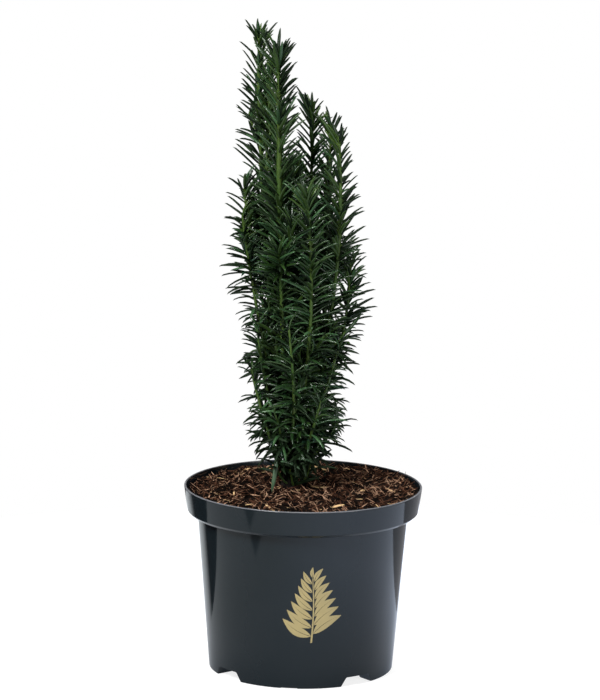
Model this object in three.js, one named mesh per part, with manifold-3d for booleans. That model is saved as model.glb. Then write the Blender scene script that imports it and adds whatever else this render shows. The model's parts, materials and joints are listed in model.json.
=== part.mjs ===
// A young English yew in a round nursery pot, in millimetres, +Z up.
// The origin is the middle of the pot's underside. -Y is the side that the plant is looked at from.
//
// A short trunk stands in the potting bark. Upright boughs leave it at staggered heights, and each
// carries one mass of foliage: a stem, the side twigs that branch from it, and the needles on both.
import * as THREE from 'three';
import { mergeVertices } from 'three/addons/utils/BufferGeometryUtils.js';
import Module from 'manifold-3d';

const wasm = await Module();
wasm.setup();

// ---- Driving sizes -------------------------------------------------------------------------

const POT_HEIGHT = 148;
const RIM_RADIUS = 95; // outside, at the lip
const COLLAR_HEIGHT = 22.3; // the band that stands out below the lip
const COLLAR_FOOT_RADIUS = 92.3;
const COLLAR_TUCK = { width: 2.2, height: 3 }; // its lower edge is drawn in by this
const WALL_TOP_RADIUS = 84; // just under the collar
const WALL_FOOT_RADIUS = 73.4;
const POT_WALL = 1.6;
const FLOOR_LIFT = 7.5; // the middle of the floor stands clear of the ground by this
const FOOT_RING_WIDTH = 14;
const FOOT_EDGE = 0.8; // the bevel round the foot
const NOTCH_COUNT = 4; // drainage notches that cut the foot ring
const NOTCH_FIRST_DEG = 38; // from -Y towards +X
const NOTCH_TOP_WIDTH = 22;
const NOTCH_FOOT_WIDTH = 32;
const FOOT_RELIEF = { width: 13, height: 0.6 }; // a shallow gap in the middle of each foot
const DRAIN_HOLE = { radius: 4.5, sides: 10, ring: 40, depth: 20 };
const BAR_LENGTH = 40; // of the bars that cut the notches
const POT_SIDES = 56;

const CLEAR = 0.3; // the gap left between neighbours
const GRAINS = [1e-3, 1e-4]; // a mass stays closed when its points are rounded to these

const BARK_EDGE = 142.8; // height of the potting bark at the wall
const BARK_CROWN = 146.8; // and at the middle
const BARK_ROUGH = 0.9;
const BARK_STRIP = 4; // the level strip against the wall
const BARK_RINGS = 4;

const TRUNK_FOOT = [-12, -3, 146];
const TRUNK_TOP = [-8, 0, 194];
const TRUNK_RADIUS = 5.4;
const TRUNK_TIP_RADIUS = 4.2;
const TRUNK_SIDES = 10;
const TRUNK_STEPS = 6;
const FLARE = { radius: 2.6, height: 5, lobes: 3, lobing: 0.3 };
const TRUNK_SOCKET = { radius: 9.6, depth: 12 }; // the level seat in the bark that the trunk stands in

const HIP = { reach: 7, rise: 6 }; // how a bough steps out from the trunk before it climbs
const BOUGH = { radius: 2.3, lowest: 0.62, tallest: 320, sides: 5, steps: 5 };
const STEM = { tipRadius: 0.9, taper: 0.8, step: 36 };
const GOLDEN_ANGLE = Math.PI * (3 - Math.sqrt(5));

const NEEDLE = { length: 27, width: 5.4, thickness: 1, widest: 0.38, arch: 0.05, roll: 0.9 };
const NEEDLE_SPACING = 2.9;
const NEEDLE_SINK = 0.6; // how far its root goes past the middle of the stem
const SHORTER = [1, 0.72, 0.5]; // a needle that doesn't fit is tried again at these shares
const YOUNG = { share: 0.55, within: 40 }; // needles are shorter near a tip
const OPENING = { atTip: 24, along: 58, within: 22 }; // degrees out from the stem, away from its tip
const DROOP = { degrees: 32, below: 350, fullAt: 180, within: 30 }; // more, low on the plant
const TWIG = { spacing: 52, length: 30, lean: 0.66, radius: 1, tipRadius: 0.6, steps: 2, tipClear: 70 };
const SPACE_MARGIN = 1; // a needle stays this much nearer to its own stem than to another
const NEEDLE_SWELL = 1.25; // the room that a needle needs round it

// Each shoot: where its tip stands, the height at which it leaves the trunk, how early it spreads
// (1 is a straight lean, more is sooner), a sideways bow, and the height where its needles begin.
const SHOOTS = [
  { name: 'left_back_leader', tip: [-40, 10, 507], foot: 186, spread: 1.8, bow: [0, 2], bare: 226 },
  { name: 'left_front_leader', tip: [-24.5, -15, 496], foot: 191, spread: 2.6, bow: [2, 0], bare: 232 },
  { name: 'middle_leader', tip: [3, 15, 450], foot: 189, spread: 1.5, bow: [1, 0], bare: 232 },
  { name: 'right_back_leader', tip: [17.5, 16, 436], foot: 180, spread: 1.5, bow: [2, 2], bare: 226 },
  { name: 'right_leader', tip: [24, -6, 430], foot: 185, spread: 1.4, bow: [8, -3], bare: 222 },
  { name: 'front_leader', tip: [-0.5, -27, 386], foot: 188, spread: 2, bow: [6, 0], bare: 220 },
  { name: 'left_outer_shoot', tip: [-51, 2, 366], foot: 176, spread: 1.3, bow: [2, 0], bare: 212 },
  { name: 'right_outer_shoot', tip: [35, 2, 331], foot: 172, spread: 1.8, bow: [1, 0], bare: 204 },
  { name: 'front_low_shoot', tip: [-13, -30, 280], foot: 167, spread: 1.5, bow: [4, -4], bare: 188 },
  { name: 'left_low_shoot', tip: [-38, -15, 278], foot: 166, spread: 1.2, bow: [0, 0], bare: 190 },
  { name: 'right_low_shoot', tip: [27, -12, 266], foot: 163, spread: 1.1, bow: [0, -2], bare: 184 },
  { name: 'front_left_shoot', tip: [-42, -20, 246], foot: 160, spread: 1.2, bow: [0, -1], bare: 172 },
  { name: 'front_right_shoot', tip: [13, -33, 224], foot: 158, spread: 1.2, bow: [0, 0], bare: 169 },
  { name: 'right_base_shoot', tip: [27, -6, 202], foot: 157, spread: 1.1, bow: [0, 0], bare: 164 },
  { name: 'left_base_shoot', tip: [-34, -8, 210], foot: 156, spread: 1.1, bow: [0, 0], bare: 164 },
  { name: 'back_leader', tip: [-14, 29, 398], foot: 183, spread: 1.6, bow: [0, 4], bare: 226 },
  { name: 'back_right_shoot', tip: [20, 34, 345], foot: 177, spread: 1.5, bow: [0, 2], bare: 214 },
  { name: 'back_left_shoot', tip: [-37, 33, 325], foot: 170, spread: 1.5, bow: [0, 2], bare: 206 },
  { name: 'back_middle_shoot', tip: [-4, 46, 296], foot: 168, spread: 1.4, bow: [0, 2], bare: 198 },
  { name: 'back_low_shoot', tip: [12, 36, 222], foot: 159, spread: 1.2, bow: [0, 0], bare: 172 },
];

const LOOKS = {
  pot: { color: 0x34393d, roughness: 0.32, metalness: 0 },
  bark: { color: 0x4a3022, roughness: 0.95, metalness: 0 },
  trunk: { color: 0x4b3a28, roughness: 0.9, metalness: 0 },
  bough: { color: 0x4d5a26, roughness: 0.75, metalness: 0 },
  foliage: { color: 0x1d3a1f, roughness: 0.45, metalness: 0 },
};

// ---- Helpers -------------------------------------------------------------------------------

const vec = ([x, y, z]) => new THREE.Vector3(x, y, z);
const lerp = THREE.MathUtils.lerp;
const radians = THREE.MathUtils.degToRad;

// A small seeded generator, the same on every run.
function dice(seed) {
  let state = seed * 7919 + 17;
  return (low = 0, high = 1) => {
    state = (state * 48271) % 2147483647;
    return low + ((high - low) * state) / 2147483647;
  };
}

// A closed three.js geometry as a solid that can be joined and cut.
function toSolid(geometry) {
  const bare = geometry.index ? geometry.toNonIndexed() : geometry.clone();
  bare.deleteAttribute('normal');
  bare.deleteAttribute('uv');
  const merged = mergeVertices(bare, 1e-4);
  return new wasm.Manifold(
    new wasm.Mesh({
      numProp: 3,
      vertProperties: merged.getAttribute('position').array,
      triVerts: new Uint32Array(merged.index.array),
    }),
  );
}

function toGeometry(solid) {
  const { vertProperties, triVerts, numProp, numVert } = solid.getMesh();
  const positions = new Float32Array(numVert * 3);
  for (let i = 0; i < numVert; i++) {
    positions.set(vertProperties.subarray(i * numProp, i * numProp + 3), i * 3);
  }
  const geometry = new THREE.BufferGeometry();
  geometry.setAttribute('position', new THREE.BufferAttribute(positions, 3));
  geometry.setIndex(new THREE.BufferAttribute(triVerts, 1));
  geometry.computeVertexNormals();
  return geometry;
}

function toMesh(name, solid, look) {
  const mesh = new THREE.Mesh(toGeometry(solid), new THREE.MeshStandardMaterial(look));
  mesh.name = name;
  return mesh;
}

// The largest closed piece of a solid, without loose scraps.
function mainPiece(solid) {
  return solid.decompose().reduce((best, piece) => (piece.volume() > best.volume() ? piece : best));
}

// Whether a solid stays closed when its points are rounded, so that no two of them nearly meet.
function staysClosed(solid, grain) {
  const { vertProperties, triVerts, numProp, numVert } = solid.getMesh();
  const places = new Map();
  const placeOf = Array.from({ length: numVert }, (_, i) => {
    const point = vertProperties.subarray(i * numProp, i * numProp + 3);
    const key = point.reduce((text, value) => `${text} ${Math.round(value / grain)}`, '');
    if (!places.has(key)) places.set(key, places.size);
    return places.get(key);
  });
  const edges = new Map();
  for (let i = 0; i < triVerts.length; i += 3) {
    const [a, b, c] = [placeOf[triVerts[i]], placeOf[triVerts[i + 1]], placeOf[triVerts[i + 2]]];
    if (a === b || b === c || c === a) continue;
    for (const [from, to] of [[a, b], [b, c], [c, a]]) {
      const edge = Math.min(from, to) * numVert + Math.max(from, to);
      edges.set(edge, (edges.get(edge) ?? 0) + 1);
    }
  }
  return [...edges.values()].every((count) => count === 2);
}

function boxesMeet(a, b, gap) {
  return [0, 1, 2].every((i) => a.min[i] - gap < b.max[i] && b.min[i] - gap < a.max[i]);
}

// Revolves an outline of [radius, height] pairs about the Z axis.
function turned(outline, sides) {
  const points = outline.map(([r, z]) => new THREE.Vector2(r, z));
  return new THREE.LatheGeometry(points, sides).rotateX(Math.PI / 2);
}

// A limb: a cylinder bent on to a path and given a radius along it, with flat ends.
function limb(path, radiusAt, sides, steps) {
  const geometry = new THREE.CylinderGeometry(1, 1, 1, sides, steps);
  const position = geometry.getAttribute('position');
  const chord = path(1).sub(path(0)).normalize();
  const aside = Math.abs(chord.x) < 0.7 ? new THREE.Vector3(1, 0, 0) : new THREE.Vector3(0, 1, 0);
  const point = new THREE.Vector3();
  for (let i = 0; i < position.count; i++) {
    point.fromBufferAttribute(position, i);
    const t = point.y + 0.5;
    const along = tangent(path, t);
    const u = aside.clone().addScaledVector(along, -aside.dot(along)).normalize();
    const v = new THREE.Vector3().crossVectors(along, u);
    const radius = radiusAt(t, Math.atan2(point.z, point.x));
    const place = path(t).addScaledVector(u, point.x * radius).addScaledVector(v, -point.z * radius);
    position.setXYZ(i, place.x, place.y, place.z);
  }
  return geometry;
}

function tangent(path, t) {
  const step = 0.01;
  return path(Math.min(t + step, 1)).sub(path(Math.max(t - step, 0))).normalize();
}

function distanceToLine(point, line) {
  let nearest = Infinity;
  const closest = new THREE.Vector3();
  for (const piece of line) {
    piece.closestPointToPoint(point, true, closest);
    nearest = Math.min(nearest, closest.distanceToSquared(point));
  }
  return Math.sqrt(nearest);
}

function asLine(path, pieces) {
  return Array.from({ length: pieces }, (_, i) => new THREE.Line3(path(i / pieces), path((i + 1) / pieces)));
}

// The straight pieces between a path's steps, as a path of its own, so that what is rooted on it
// starts inside a limb that has the same steps.
function inSteps(path, steps) {
  const points = Array.from({ length: steps + 1 }, (_, i) => path(i / steps));
  return (t) => {
    const i = Math.min(Math.floor(t * steps), steps - 1);
    return points[i].clone().lerp(points[i + 1], t * steps - i);
  };
}

// ---- The pot -------------------------------------------------------------------------------

// The pot's outer skin, or the same skin moved inwards by an inset, closed off at a height.
function potSkin(inset, top) {
  const collarFoot = POT_HEIGHT - COLLAR_HEIGHT;
  const ringInner = WALL_FOOT_RADIUS - FOOT_RING_WIDTH;
  const collarFull = collarFoot + COLLAR_TUCK.height;
  const topRadius = lerp(COLLAR_FOOT_RADIUS, RIM_RADIUS, (top - collarFull) / (POT_HEIGHT - collarFull));
  return turned(
    [
      [0, FLOOR_LIFT + inset],
      [ringInner - 2 + inset, FLOOR_LIFT + inset],
      [ringInner + inset, inset],
      [WALL_FOOT_RADIUS - FOOT_EDGE - inset, inset],
      [WALL_FOOT_RADIUS - inset, FOOT_EDGE + inset],
      [WALL_TOP_RADIUS - inset, collarFoot + inset],
      [COLLAR_FOOT_RADIUS - COLLAR_TUCK.width - inset, collarFoot + 0.8 + inset],
      [COLLAR_FOOT_RADIUS - inset, collarFull],
      [topRadius - inset, top],
      [0, top],
    ],
    POT_SIDES,
  );
}

// A wedge-sided bar laid outwards through the foot ring at each notch. Grown, it cuts a wider one.
function notchBars(grow) {
  const height = FLOOR_LIFT + grow;
  const shape = new THREE.Shape([
    new THREE.Vector2(-NOTCH_FOOT_WIDTH / 2 - grow, -1),
    new THREE.Vector2(NOTCH_FOOT_WIDTH / 2 + grow, -1),
    new THREE.Vector2(NOTCH_TOP_WIDTH / 2 + grow, height),
    new THREE.Vector2(-NOTCH_TOP_WIDTH / 2 - grow, height),
  ]);
  return barsAt(shape, NOTCH_FIRST_DEG, WALL_FOOT_RADIUS - FOOT_RING_WIDTH - 8);
}

function reliefBars() {
  const { width, height } = FOOT_RELIEF;
  const shape = new THREE.Shape([
    new THREE.Vector2(-width / 2, -1),
    new THREE.Vector2(width / 2, -1),
    new THREE.Vector2(width / 2, height),
    new THREE.Vector2(-width / 2, height),
  ]);
  return barsAt(shape, NOTCH_FIRST_DEG - 180 / NOTCH_COUNT, WALL_FOOT_RADIUS - FOOT_RING_WIDTH - 2);
}

// The same upright section laid outwards from an inner radius, once in each quarter.
function barsAt(shape, firstDeg, inner) {
  return Array.from({ length: NOTCH_COUNT }, (_, i) => {
    const bar = new THREE.ExtrudeGeometry(shape, { depth: BAR_LENGTH, bevelEnabled: false });
    bar.rotateX(Math.PI / 2).translate(0, -inner, 0);
    return toSolid(bar.rotateZ(radians(firstDeg + (i * 360) / NOTCH_COUNT)));
  });
}

function drainHoles() {
  const { radius, sides, ring, depth } = DRAIN_HOLE;
  return Array.from({ length: NOTCH_COUNT }, (_, i) => {
    const angle = radians(NOTCH_FIRST_DEG + (i * 360) / NOTCH_COUNT);
    const hole = new THREE.CylinderGeometry(radius, radius, depth, sides).rotateX(Math.PI / 2);
    return toSolid(hole.translate(ring * Math.sin(angle), -ring * Math.cos(angle), FLOOR_LIFT));
  });
}

const cutAway = (solid, tools) => tools.reduce((rest, tool) => rest.subtract(tool), solid);

function makePot() {
  const outside = cutAway(toSolid(potSkin(0, POT_HEIGHT)), [...notchBars(0), ...reliefBars()]);
  const inside = cutAway(toSolid(potSkin(POT_WALL, POT_HEIGHT + 1)), notchBars(POT_WALL));
  return cutAway(outside.subtract(inside), drainHoles());
}

// ---- The potting bark ----------------------------------------------------------------------

// It fills the pot. Its top rises to the middle and is rough, apart from the strip against the wall.
function makeBark() {
  const fit = POT_WALL + CLEAR;
  const filling = cutAway(toSolid(potSkin(fit, BARK_EDGE)), notchBars(fit));
  const rim = COLLAR_FOOT_RADIUS - BARK_STRIP;
  const outline = [[0, BARK_EDGE - 8], [rim - 4, BARK_EDGE - 6], [rim, BARK_EDGE - 0.6]];
  for (let i = BARK_RINGS; i >= 0; i--) {
    outline.push([((rim - 0.5) * i) / BARK_RINGS, BARK_EDGE]);
  }
  const crown = turned(outline, POT_SIDES / 2);
  const position = crown.getAttribute('position');
  for (let i = 0; i < position.count; i++) {
    const [x, y, z] = [position.getX(i), position.getY(i), position.getZ(i)];
    if (z < BARK_EDGE) continue;
    const inward = 1 - (Math.hypot(x, y) / rim) ** 2;
    const lumps = Math.sin(x * 0.37 + y * 0.21) * Math.cos(y * 0.41 - x * 0.13);
    const rough = lumps + Math.sin(x * 0.11 - y * 0.29);
    position.setZ(i, BARK_EDGE + (BARK_CROWN - BARK_EDGE + BARK_ROUGH * rough) * inward);
  }
  const { radius, depth } = TRUNK_SOCKET;
  const socket = new THREE.CylinderGeometry(radius, radius, depth, 16).rotateX(Math.PI / 2);
  socket.translate(TRUNK_FOOT[0], TRUNK_FOOT[1], TRUNK_FOOT[2] - CLEAR + depth / 2);
  return filling.add(toSolid(crown)).subtract(toSolid(socket));
}

// ---- The trunk and boughs ------------------------------------------------------------------

const trunkPath = (t) => vec(TRUNK_FOOT).lerp(vec(TRUNK_TOP), t);
const trunkAt = (z) => trunkPath((z - TRUNK_FOOT[2]) / (TRUNK_TOP[2] - TRUNK_FOOT[2]));

// The trunk, or the same trunk grown on all sides but its foot.
function makeTrunk(grow) {
  const length = TRUNK_TOP[2] - TRUNK_FOOT[2];
  const radiusAt = (t, angle) => {
    const lobe = 1 + FLARE.lobing * Math.cos(FLARE.lobes * angle);
    const flare = FLARE.radius * lobe * Math.exp((-t * length) / FLARE.height);
    return lerp(TRUNK_RADIUS, TRUNK_TIP_RADIUS, t) + flare + grow;
  };
  const path = (t) => trunkPath(t * (1 + grow / length));
  const ground = new THREE.BoxGeometry(80, 80, 20);
  ground.translate(TRUNK_FOOT[0], TRUNK_FOOT[1], TRUNK_FOOT[2] - 10);
  return toSolid(limb(path, radiusAt, TRUNK_SIDES, TRUNK_STEPS)).subtract(toSolid(ground));
}

// A shoot's line from the trunk's middle to its tip: out over the hip, then up.
function shootPath({ tip, foot, spread, bow }) {
  const start = trunkAt(foot);
  const end = vec(tip);
  const away = end.clone().sub(start).setZ(0);
  const outward = away.clone().normalize();
  const rest = away.length() - HIP.reach;
  return (t) => {
    const rise = (end.z - start.z) * t;
    const step = HIP.reach * (1 - Math.exp(-rise / HIP.rise));
    const lean = rest * (1 - (1 - t) ** spread);
    const swing = Math.sin(Math.PI * t);
    const place = start.clone().addScaledVector(outward, step + lean);
    return place.add(new THREE.Vector3(bow[0] * swing, bow[1] * swing, rise));
  };
}

// Tall shoots are thicker at the foot than low ones.
function shootRadius({ tip, foot }) {
  const footRadius = BOUGH.radius * lerp(BOUGH.lowest, 1, (tip[2] - foot) / BOUGH.tallest);
  return (t) => lerp(footRadius, STEM.tipRadius, t ** STEM.taper);
}

const bareShare = (shoot) => (shoot.bare - shoot.foot) / (shoot.tip[2] - shoot.foot);

function makeBough(shoot, grow) {
  const path = shootPath(shoot);
  const radius = shootRadius(shoot);
  const share = bareShare(shoot);
  return toSolid(limb((t) => path(t * share), (t) => radius(t * share) + grow, BOUGH.sides, BOUGH.steps));
}

// ---- The foliage ---------------------------------------------------------------------------

// One needle from its root, lying along a direction with its flat side facing another: a blade with
// two edges and a keel below, drawn from a three-sided ball whose poles are the root and the point.
function needleSolid(root, direction, facing, length, swell) {
  const geometry = new THREE.SphereGeometry(1, 3, 2);
  const position = geometry.getAttribute('position');
  const across = new THREE.Vector3().crossVectors(facing, direction).normalize();
  const up = new THREE.Vector3().crossVectors(direction, across);
  const keel = swell * NEEDLE.thickness;
  for (let i = 0; i < position.count; i++) {
    const [x, y, z] = [position.getX(i), position.getY(i), position.getZ(i)];
    const pole = Math.abs(y) > 0.5;
    const share = pole ? (y < 0 ? 0 : 1) : NEEDLE.widest;
    const rise = pole ? (y < 0 ? 0 : -NEEDLE.arch * length) : NEEDLE.arch * length + x * keel * 0.5;
    const place = root.clone().addScaledVector(direction, share * length);
    place.addScaledVector(across, pole ? 0 : (z * NEEDLE.width * swell) / Math.sqrt(3));
    place.addScaledVector(up, rise);
    position.setXYZ(i, place.x, place.y, place.z);
  }
  return toSolid(geometry);
}

// How far a needle opens from its stem: nearly shut at a tip, and level or drooping low down.
function opening(fromTip, height) {
  const open = lerp(OPENING.along, OPENING.atTip, Math.exp(-fromTip / OPENING.within));
  const low = THREE.MathUtils.clamp((DROOP.below - height) / (DROOP.below - DROOP.fullAt), 0, 1);
  return radians(open + DROOP.degrees * low * (1 - Math.exp(-fromTip / DROOP.within)));
}

// The needles along a stem or twig, as roots, directions and lengths, set in a spiral.
function needleRule(path, length, random) {
  const count = Math.round(length / NEEDLE_SPACING);
  const turn = random(0, 2 * Math.PI);
  return Array.from({ length: count }, (_, i) => {
    const t = (i + 0.6) / count;
    const along = tangent(path, t);
    const side = new THREE.Vector3(1, 0, 0).addScaledVector(along, -along.x).normalize();
    const angle = turn + i * GOLDEN_ANGLE + random(-0.25, 0.25);
    const radial = side.applyAxisAngle(along, angle);
    const root = path(t);
    const fromTip = (1 - t) * length;
    const open = opening(fromTip, root.z) + random(-0.1, 0.1);
    const direction = along.clone().multiplyScalar(Math.cos(open)).addScaledVector(radial, Math.sin(open));
    const facing = along.clone().applyAxisAngle(direction, random(-NEEDLE.roll, NEEDLE.roll));
    const young = Math.min(1, YOUNG.share + fromTip / YOUNG.within);
    return { root, direction, facing, length: NEEDLE.length * young * random(0.88, 1.12) };
  });
}

// Side twigs, set in a spiral, that leave the stem and turn up beside it.
function twigRule(path, length, random) {
  const count = Math.floor((length - TWIG.tipClear) / TWIG.spacing);
  const turn = random(0, 2 * Math.PI);
  return Array.from({ length: Math.max(0, count) }, (_, i) => {
    const t = ((i + 0.7) * TWIG.spacing) / length;
    const along = tangent(path, t);
    const side = new THREE.Vector3(1, 0, 0).addScaledVector(along, -along.x).normalize();
    const radial = side.applyAxisAngle(along, turn + i * GOLDEN_ANGLE);
    const root = path(t);
    const reach = TWIG.length * random(0.8, 1.15);
    const elbow = root.clone().addScaledVector(along, reach * 0.3).addScaledVector(radial, reach * 0.42);
    const end = root.clone().addScaledVector(along, reach * Math.cos(TWIG.lean));
    end.addScaledVector(radial, reach * Math.sin(TWIG.lean));
    const curve = new THREE.QuadraticBezierCurve3(root, elbow, end);
    return { path: inSteps((s) => curve.getPoint(s), TWIG.steps), length: reach };
  });
}

// A mass keeps to the space that is nearer to its own stem than to any other.
function keepsToSpace(points, own, others) {
  return points.every((point) => {
    const near = distanceToLine(point, own);
    return others.every((other) => distanceToLine(point, other) > near + SPACE_MARGIN);
  });
}

// A shoot's mass: its stem, then the twigs and needles that find room among the limbs and masses
// that are already there.
function makeFoliage(shoot, index, lines, limbs, earlier) {
  const random = dice(index + 1);
  const whole = shootPath(shoot);
  const radius = shootRadius(shoot);
  const full = whole(0).distanceTo(whole(1));
  const from = bareShare(shoot) + CLEAR / full;
  const length = full * (1 - from);
  const steps = Math.max(2, Math.round(length / STEM.step));
  const path = inSteps((t) => whole(lerp(from, 1, t)), steps);
  const others = lines.filter((_, i) => i !== index);
  let mass = toSolid(limb(path, (t) => radius(lerp(from, 1, t)), 3, steps));

  const join = (piece) => {
    const joined = mass.add(piece);
    const sound = joined.genus() === 0 && joined.decompose().length === 1;
    if (sound && GRAINS.every((grain) => staysClosed(joined, grain))) mass = joined;
  };

  const fits = (swollen) => {
    const box = swollen.boundingBox();
    const near = [...limbs, ...earlier].filter((solid) => boxesMeet(box, solid.box, CLEAR));
    return near.every((solid) => solid.shape.intersect(swollen).volume() < 1e-4);
  };

  const addNeedles = (line, lineLength) => {
    for (const { root, direction, facing, length: longest } of needleRule(line, lineLength, random)) {
      const sunk = root.clone().addScaledVector(direction, -NEEDLE_SINK);
      for (const share of SHORTER) {
        const reach = longest * share;
        const samples = [0.35, 0.7, 1].map((s) => root.clone().addScaledVector(direction, reach * s));
        const above = samples.every((point) => point.z > BARK_CROWN + 2);
        if (!above || !keepsToSpace(samples, lines[index], others)) continue;
        if (!fits(needleSolid(root, direction, facing, reach, NEEDLE_SWELL))) continue;
        join(needleSolid(sunk, direction, facing, reach, 1));
        break;
      }
    }
  };

  const thickness = (t) => lerp(TWIG.radius, TWIG.tipRadius, t);
  for (const twig of twigRule(path, length, random)) {
    const samples = [0.4, 0.7, 1].map((s) => twig.path(s));
    if (!keepsToSpace(samples, lines[index], others)) continue;
    if (!fits(toSolid(limb(twig.path, (t) => thickness(t) + CLEAR, 4, TWIG.steps)))) continue;
    join(toSolid(limb(twig.path, thickness, 3, TWIG.steps)));
    addNeedles(twig.path, twig.length);
  }
  addNeedles(path, length);
  return mass;
}

// ---- Assembly ------------------------------------------------------------------------------

const yew = new THREE.Group();
const container = new THREE.Group();
const plant = new THREE.Group();
yew.add(container, plant);

const potSolid = makePot();
const barkSolid = makeBark();
container.add(toMesh('pot', potSolid, LOOKS.pot), toMesh('potting_bark', barkSolid, LOOKS.bark));
plant.add(toMesh('trunk', makeTrunk(0), LOOKS.trunk));

const withBox = (shape) => ({ shape, box: shape.boundingBox() });
const limbs = [withBox(makeTrunk(CLEAR)), withBox(barkSolid), withBox(potSolid)];
for (const shoot of SHOOTS) {
  const grown = makeBough(shoot, CLEAR);
  const box = grown.boundingBox();
  const near = limbs.filter((other) => boxesMeet(box, other.box, CLEAR));
  const bough = mainPiece(cutAway(makeBough(shoot, 0), near.map((other) => other.shape)));
  limbs.push({ shape: grown, box });
  plant.add(toMesh(`bough_${shoot.name}`, bough, LOOKS.bough));
}

const lines = SHOOTS.map((shoot) => asLine(shootPath(shoot), 14));
const masses = [];
SHOOTS.forEach((shoot, index) => {
  const foliage = makeFoliage(shoot, index, lines, limbs, masses);
  masses.push(withBox(foliage));
  plant.add(toMesh(`foliage_${shoot.name}`, foliage, LOOKS.foliage));
});

export default yew;
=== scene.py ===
# The looks of a young english yew in a nursery pot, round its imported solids.
# Sizes are in millimetres, as in the source, and are turned to metres where a mesh is made.
import json
import math
from types import SimpleNamespace

import bmesh
import bpy
from mathutils import Matrix, Vector, noise

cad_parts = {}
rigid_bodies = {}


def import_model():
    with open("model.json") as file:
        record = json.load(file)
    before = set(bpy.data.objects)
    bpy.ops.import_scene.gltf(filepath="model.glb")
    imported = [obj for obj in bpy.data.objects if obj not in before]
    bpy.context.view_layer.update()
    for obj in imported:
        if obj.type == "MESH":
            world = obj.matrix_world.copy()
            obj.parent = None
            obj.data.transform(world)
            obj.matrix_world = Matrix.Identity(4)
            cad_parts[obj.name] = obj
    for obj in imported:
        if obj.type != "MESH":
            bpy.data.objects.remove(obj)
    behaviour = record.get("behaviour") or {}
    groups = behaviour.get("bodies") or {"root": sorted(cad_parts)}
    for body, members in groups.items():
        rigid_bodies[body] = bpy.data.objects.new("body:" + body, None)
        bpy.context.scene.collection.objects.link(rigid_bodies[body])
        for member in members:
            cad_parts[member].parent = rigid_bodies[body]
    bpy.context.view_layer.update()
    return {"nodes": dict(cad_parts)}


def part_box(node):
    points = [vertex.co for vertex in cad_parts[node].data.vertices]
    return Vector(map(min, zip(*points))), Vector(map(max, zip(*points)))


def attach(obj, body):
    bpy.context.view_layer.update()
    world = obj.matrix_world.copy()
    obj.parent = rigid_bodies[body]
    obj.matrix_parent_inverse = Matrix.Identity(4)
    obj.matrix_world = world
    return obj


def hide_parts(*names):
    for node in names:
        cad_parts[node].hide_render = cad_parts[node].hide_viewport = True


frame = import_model()

mm = 0.001
goldenAngle = math.pi * (3 - math.sqrt(5))
print("frame loaded:", len(frame["nodes"]), "nodes")


def lerp(low, high, t):
    return low + (high - low) * t


def clamp(value):
    return max(0.0, min(1.0, value))


def metres(values):
    return [value * mm for value in values]


def bent(root, elbow, end, t):
    return root * (1 - t) ** 2 + elbow * (2 * t * (1 - t)) + end * t**2


def dice(seed):
    # the source's own generator, so that what grows by its rule grows in the same places
    state = seed * 7919 + 17

    def roll(low=0.0, high=1.0):
        nonlocal state
        state = (state * 48271) % 2147483647
        return low + (high - low) * state / 2147483647

    return roll


def addObject(name, data):
    made = bpy.data.objects.new(name, data)
    bpy.context.scene.collection.objects.link(made)
    return made


def discard(*things):
    for thing in things:
        bpy.data.objects.remove(thing)


def evaluated(thing):
    # the object with its modifiers worked out, as a plain mesh without them
    graph = bpy.context.evaluated_depsgraph_get()
    shape = bpy.data.meshes.new_from_object(thing.evaluated_get(graph))
    thing.modifiers.clear()
    thing.data = shape
    shape.name = thing.name
    return thing


def meshFrom(name, points, faces):
    mesh = bpy.data.meshes.new(name)
    mesh.from_pydata([tuple(metres(p)) for p in points], [], faces)
    mesh.validate()
    return mesh


def meshObject(name, points, faces):
    return addObject(name, meshFrom(name, points, faces))


def ringAngles(count):
    return [2 * math.pi * i / count for i in range(count)]


def onRing(radius, angle, height):
    # angles run from -Y towards +X
    return (radius * math.sin(angle), -radius * math.cos(angle), height)


def bands(rings, sides, first=0, flipped=False):
    # the faces between closed rings of points that follow each other
    faces = []
    for low in range(first, first + (rings - 1) * sides, sides):
        for i in range(sides):
            j = (i + 1) % sides
            face = (low + i, low + j, low + sides + j, low + sides + i)
            faces.append((face[0], *face[:0:-1]) if flipped else face)
    return faces


def outwards(thing):
    shape = bmesh.new()
    shape.from_mesh(thing.data)
    bmesh.ops.remove_doubles(shape, verts=shape.verts, dist=1e-7)
    bmesh.ops.recalc_face_normals(shape, faces=shape.faces)
    shape.to_mesh(thing.data)
    shape.free()
    return thing


def shadeSmooth(thing, sharpAbove=180):
    thing.data.shade_smooth()
    if sharpAbove < 180:
        thing.data.set_sharp_from_angle(angle=math.radians(sharpAbove))


def finishPiece(piece, nodes=(), material=None):
    if material:
        piece.data.materials.clear()
        piece.data.materials.append(material)
    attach(piece, "root")
    if nodes:
        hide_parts(*nodes)
    print("made", piece.name, len(piece.data.polygons), "faces")
    return piece


def nodesNamed(start):
    return sorted(name for name in frame["nodes"] if name.startswith(start))


# node trees: each helper adds its node to the tree of the sockets that it is given

def put(socket, value):
    if isinstance(value, bpy.types.NodeSocket):
        socket.id_data.links.new(value, socket)
    else:
        socket.default_value = value


def addNode(tree, kind, inputs=None, **settings):
    made = tree.nodes.new(kind)
    for name, value in settings.items():
        setattr(made, name, value)
    for name, value in (inputs or {}).items():
        put(made.inputs[name], value)
    return made


def sourceOf(tree, kind, output=0):
    return addNode(tree, kind).outputs[output]


def outputOf(kind, inputs, output=0, **settings):
    tree = next(value.id_data for value in inputs.values() if isinstance(value, bpy.types.NodeSocket))
    return addNode(tree, kind, inputs, **settings).outputs[output]


def reckoner(operation, kind="ShaderNodeMath", output=0):
    return lambda *values: outputOf(kind, dict(enumerate(values)), output, operation=operation)


def vectorReckoner(operation, output=0):
    return reckoner(operation, "ShaderNodeVectorMath", output)


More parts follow.
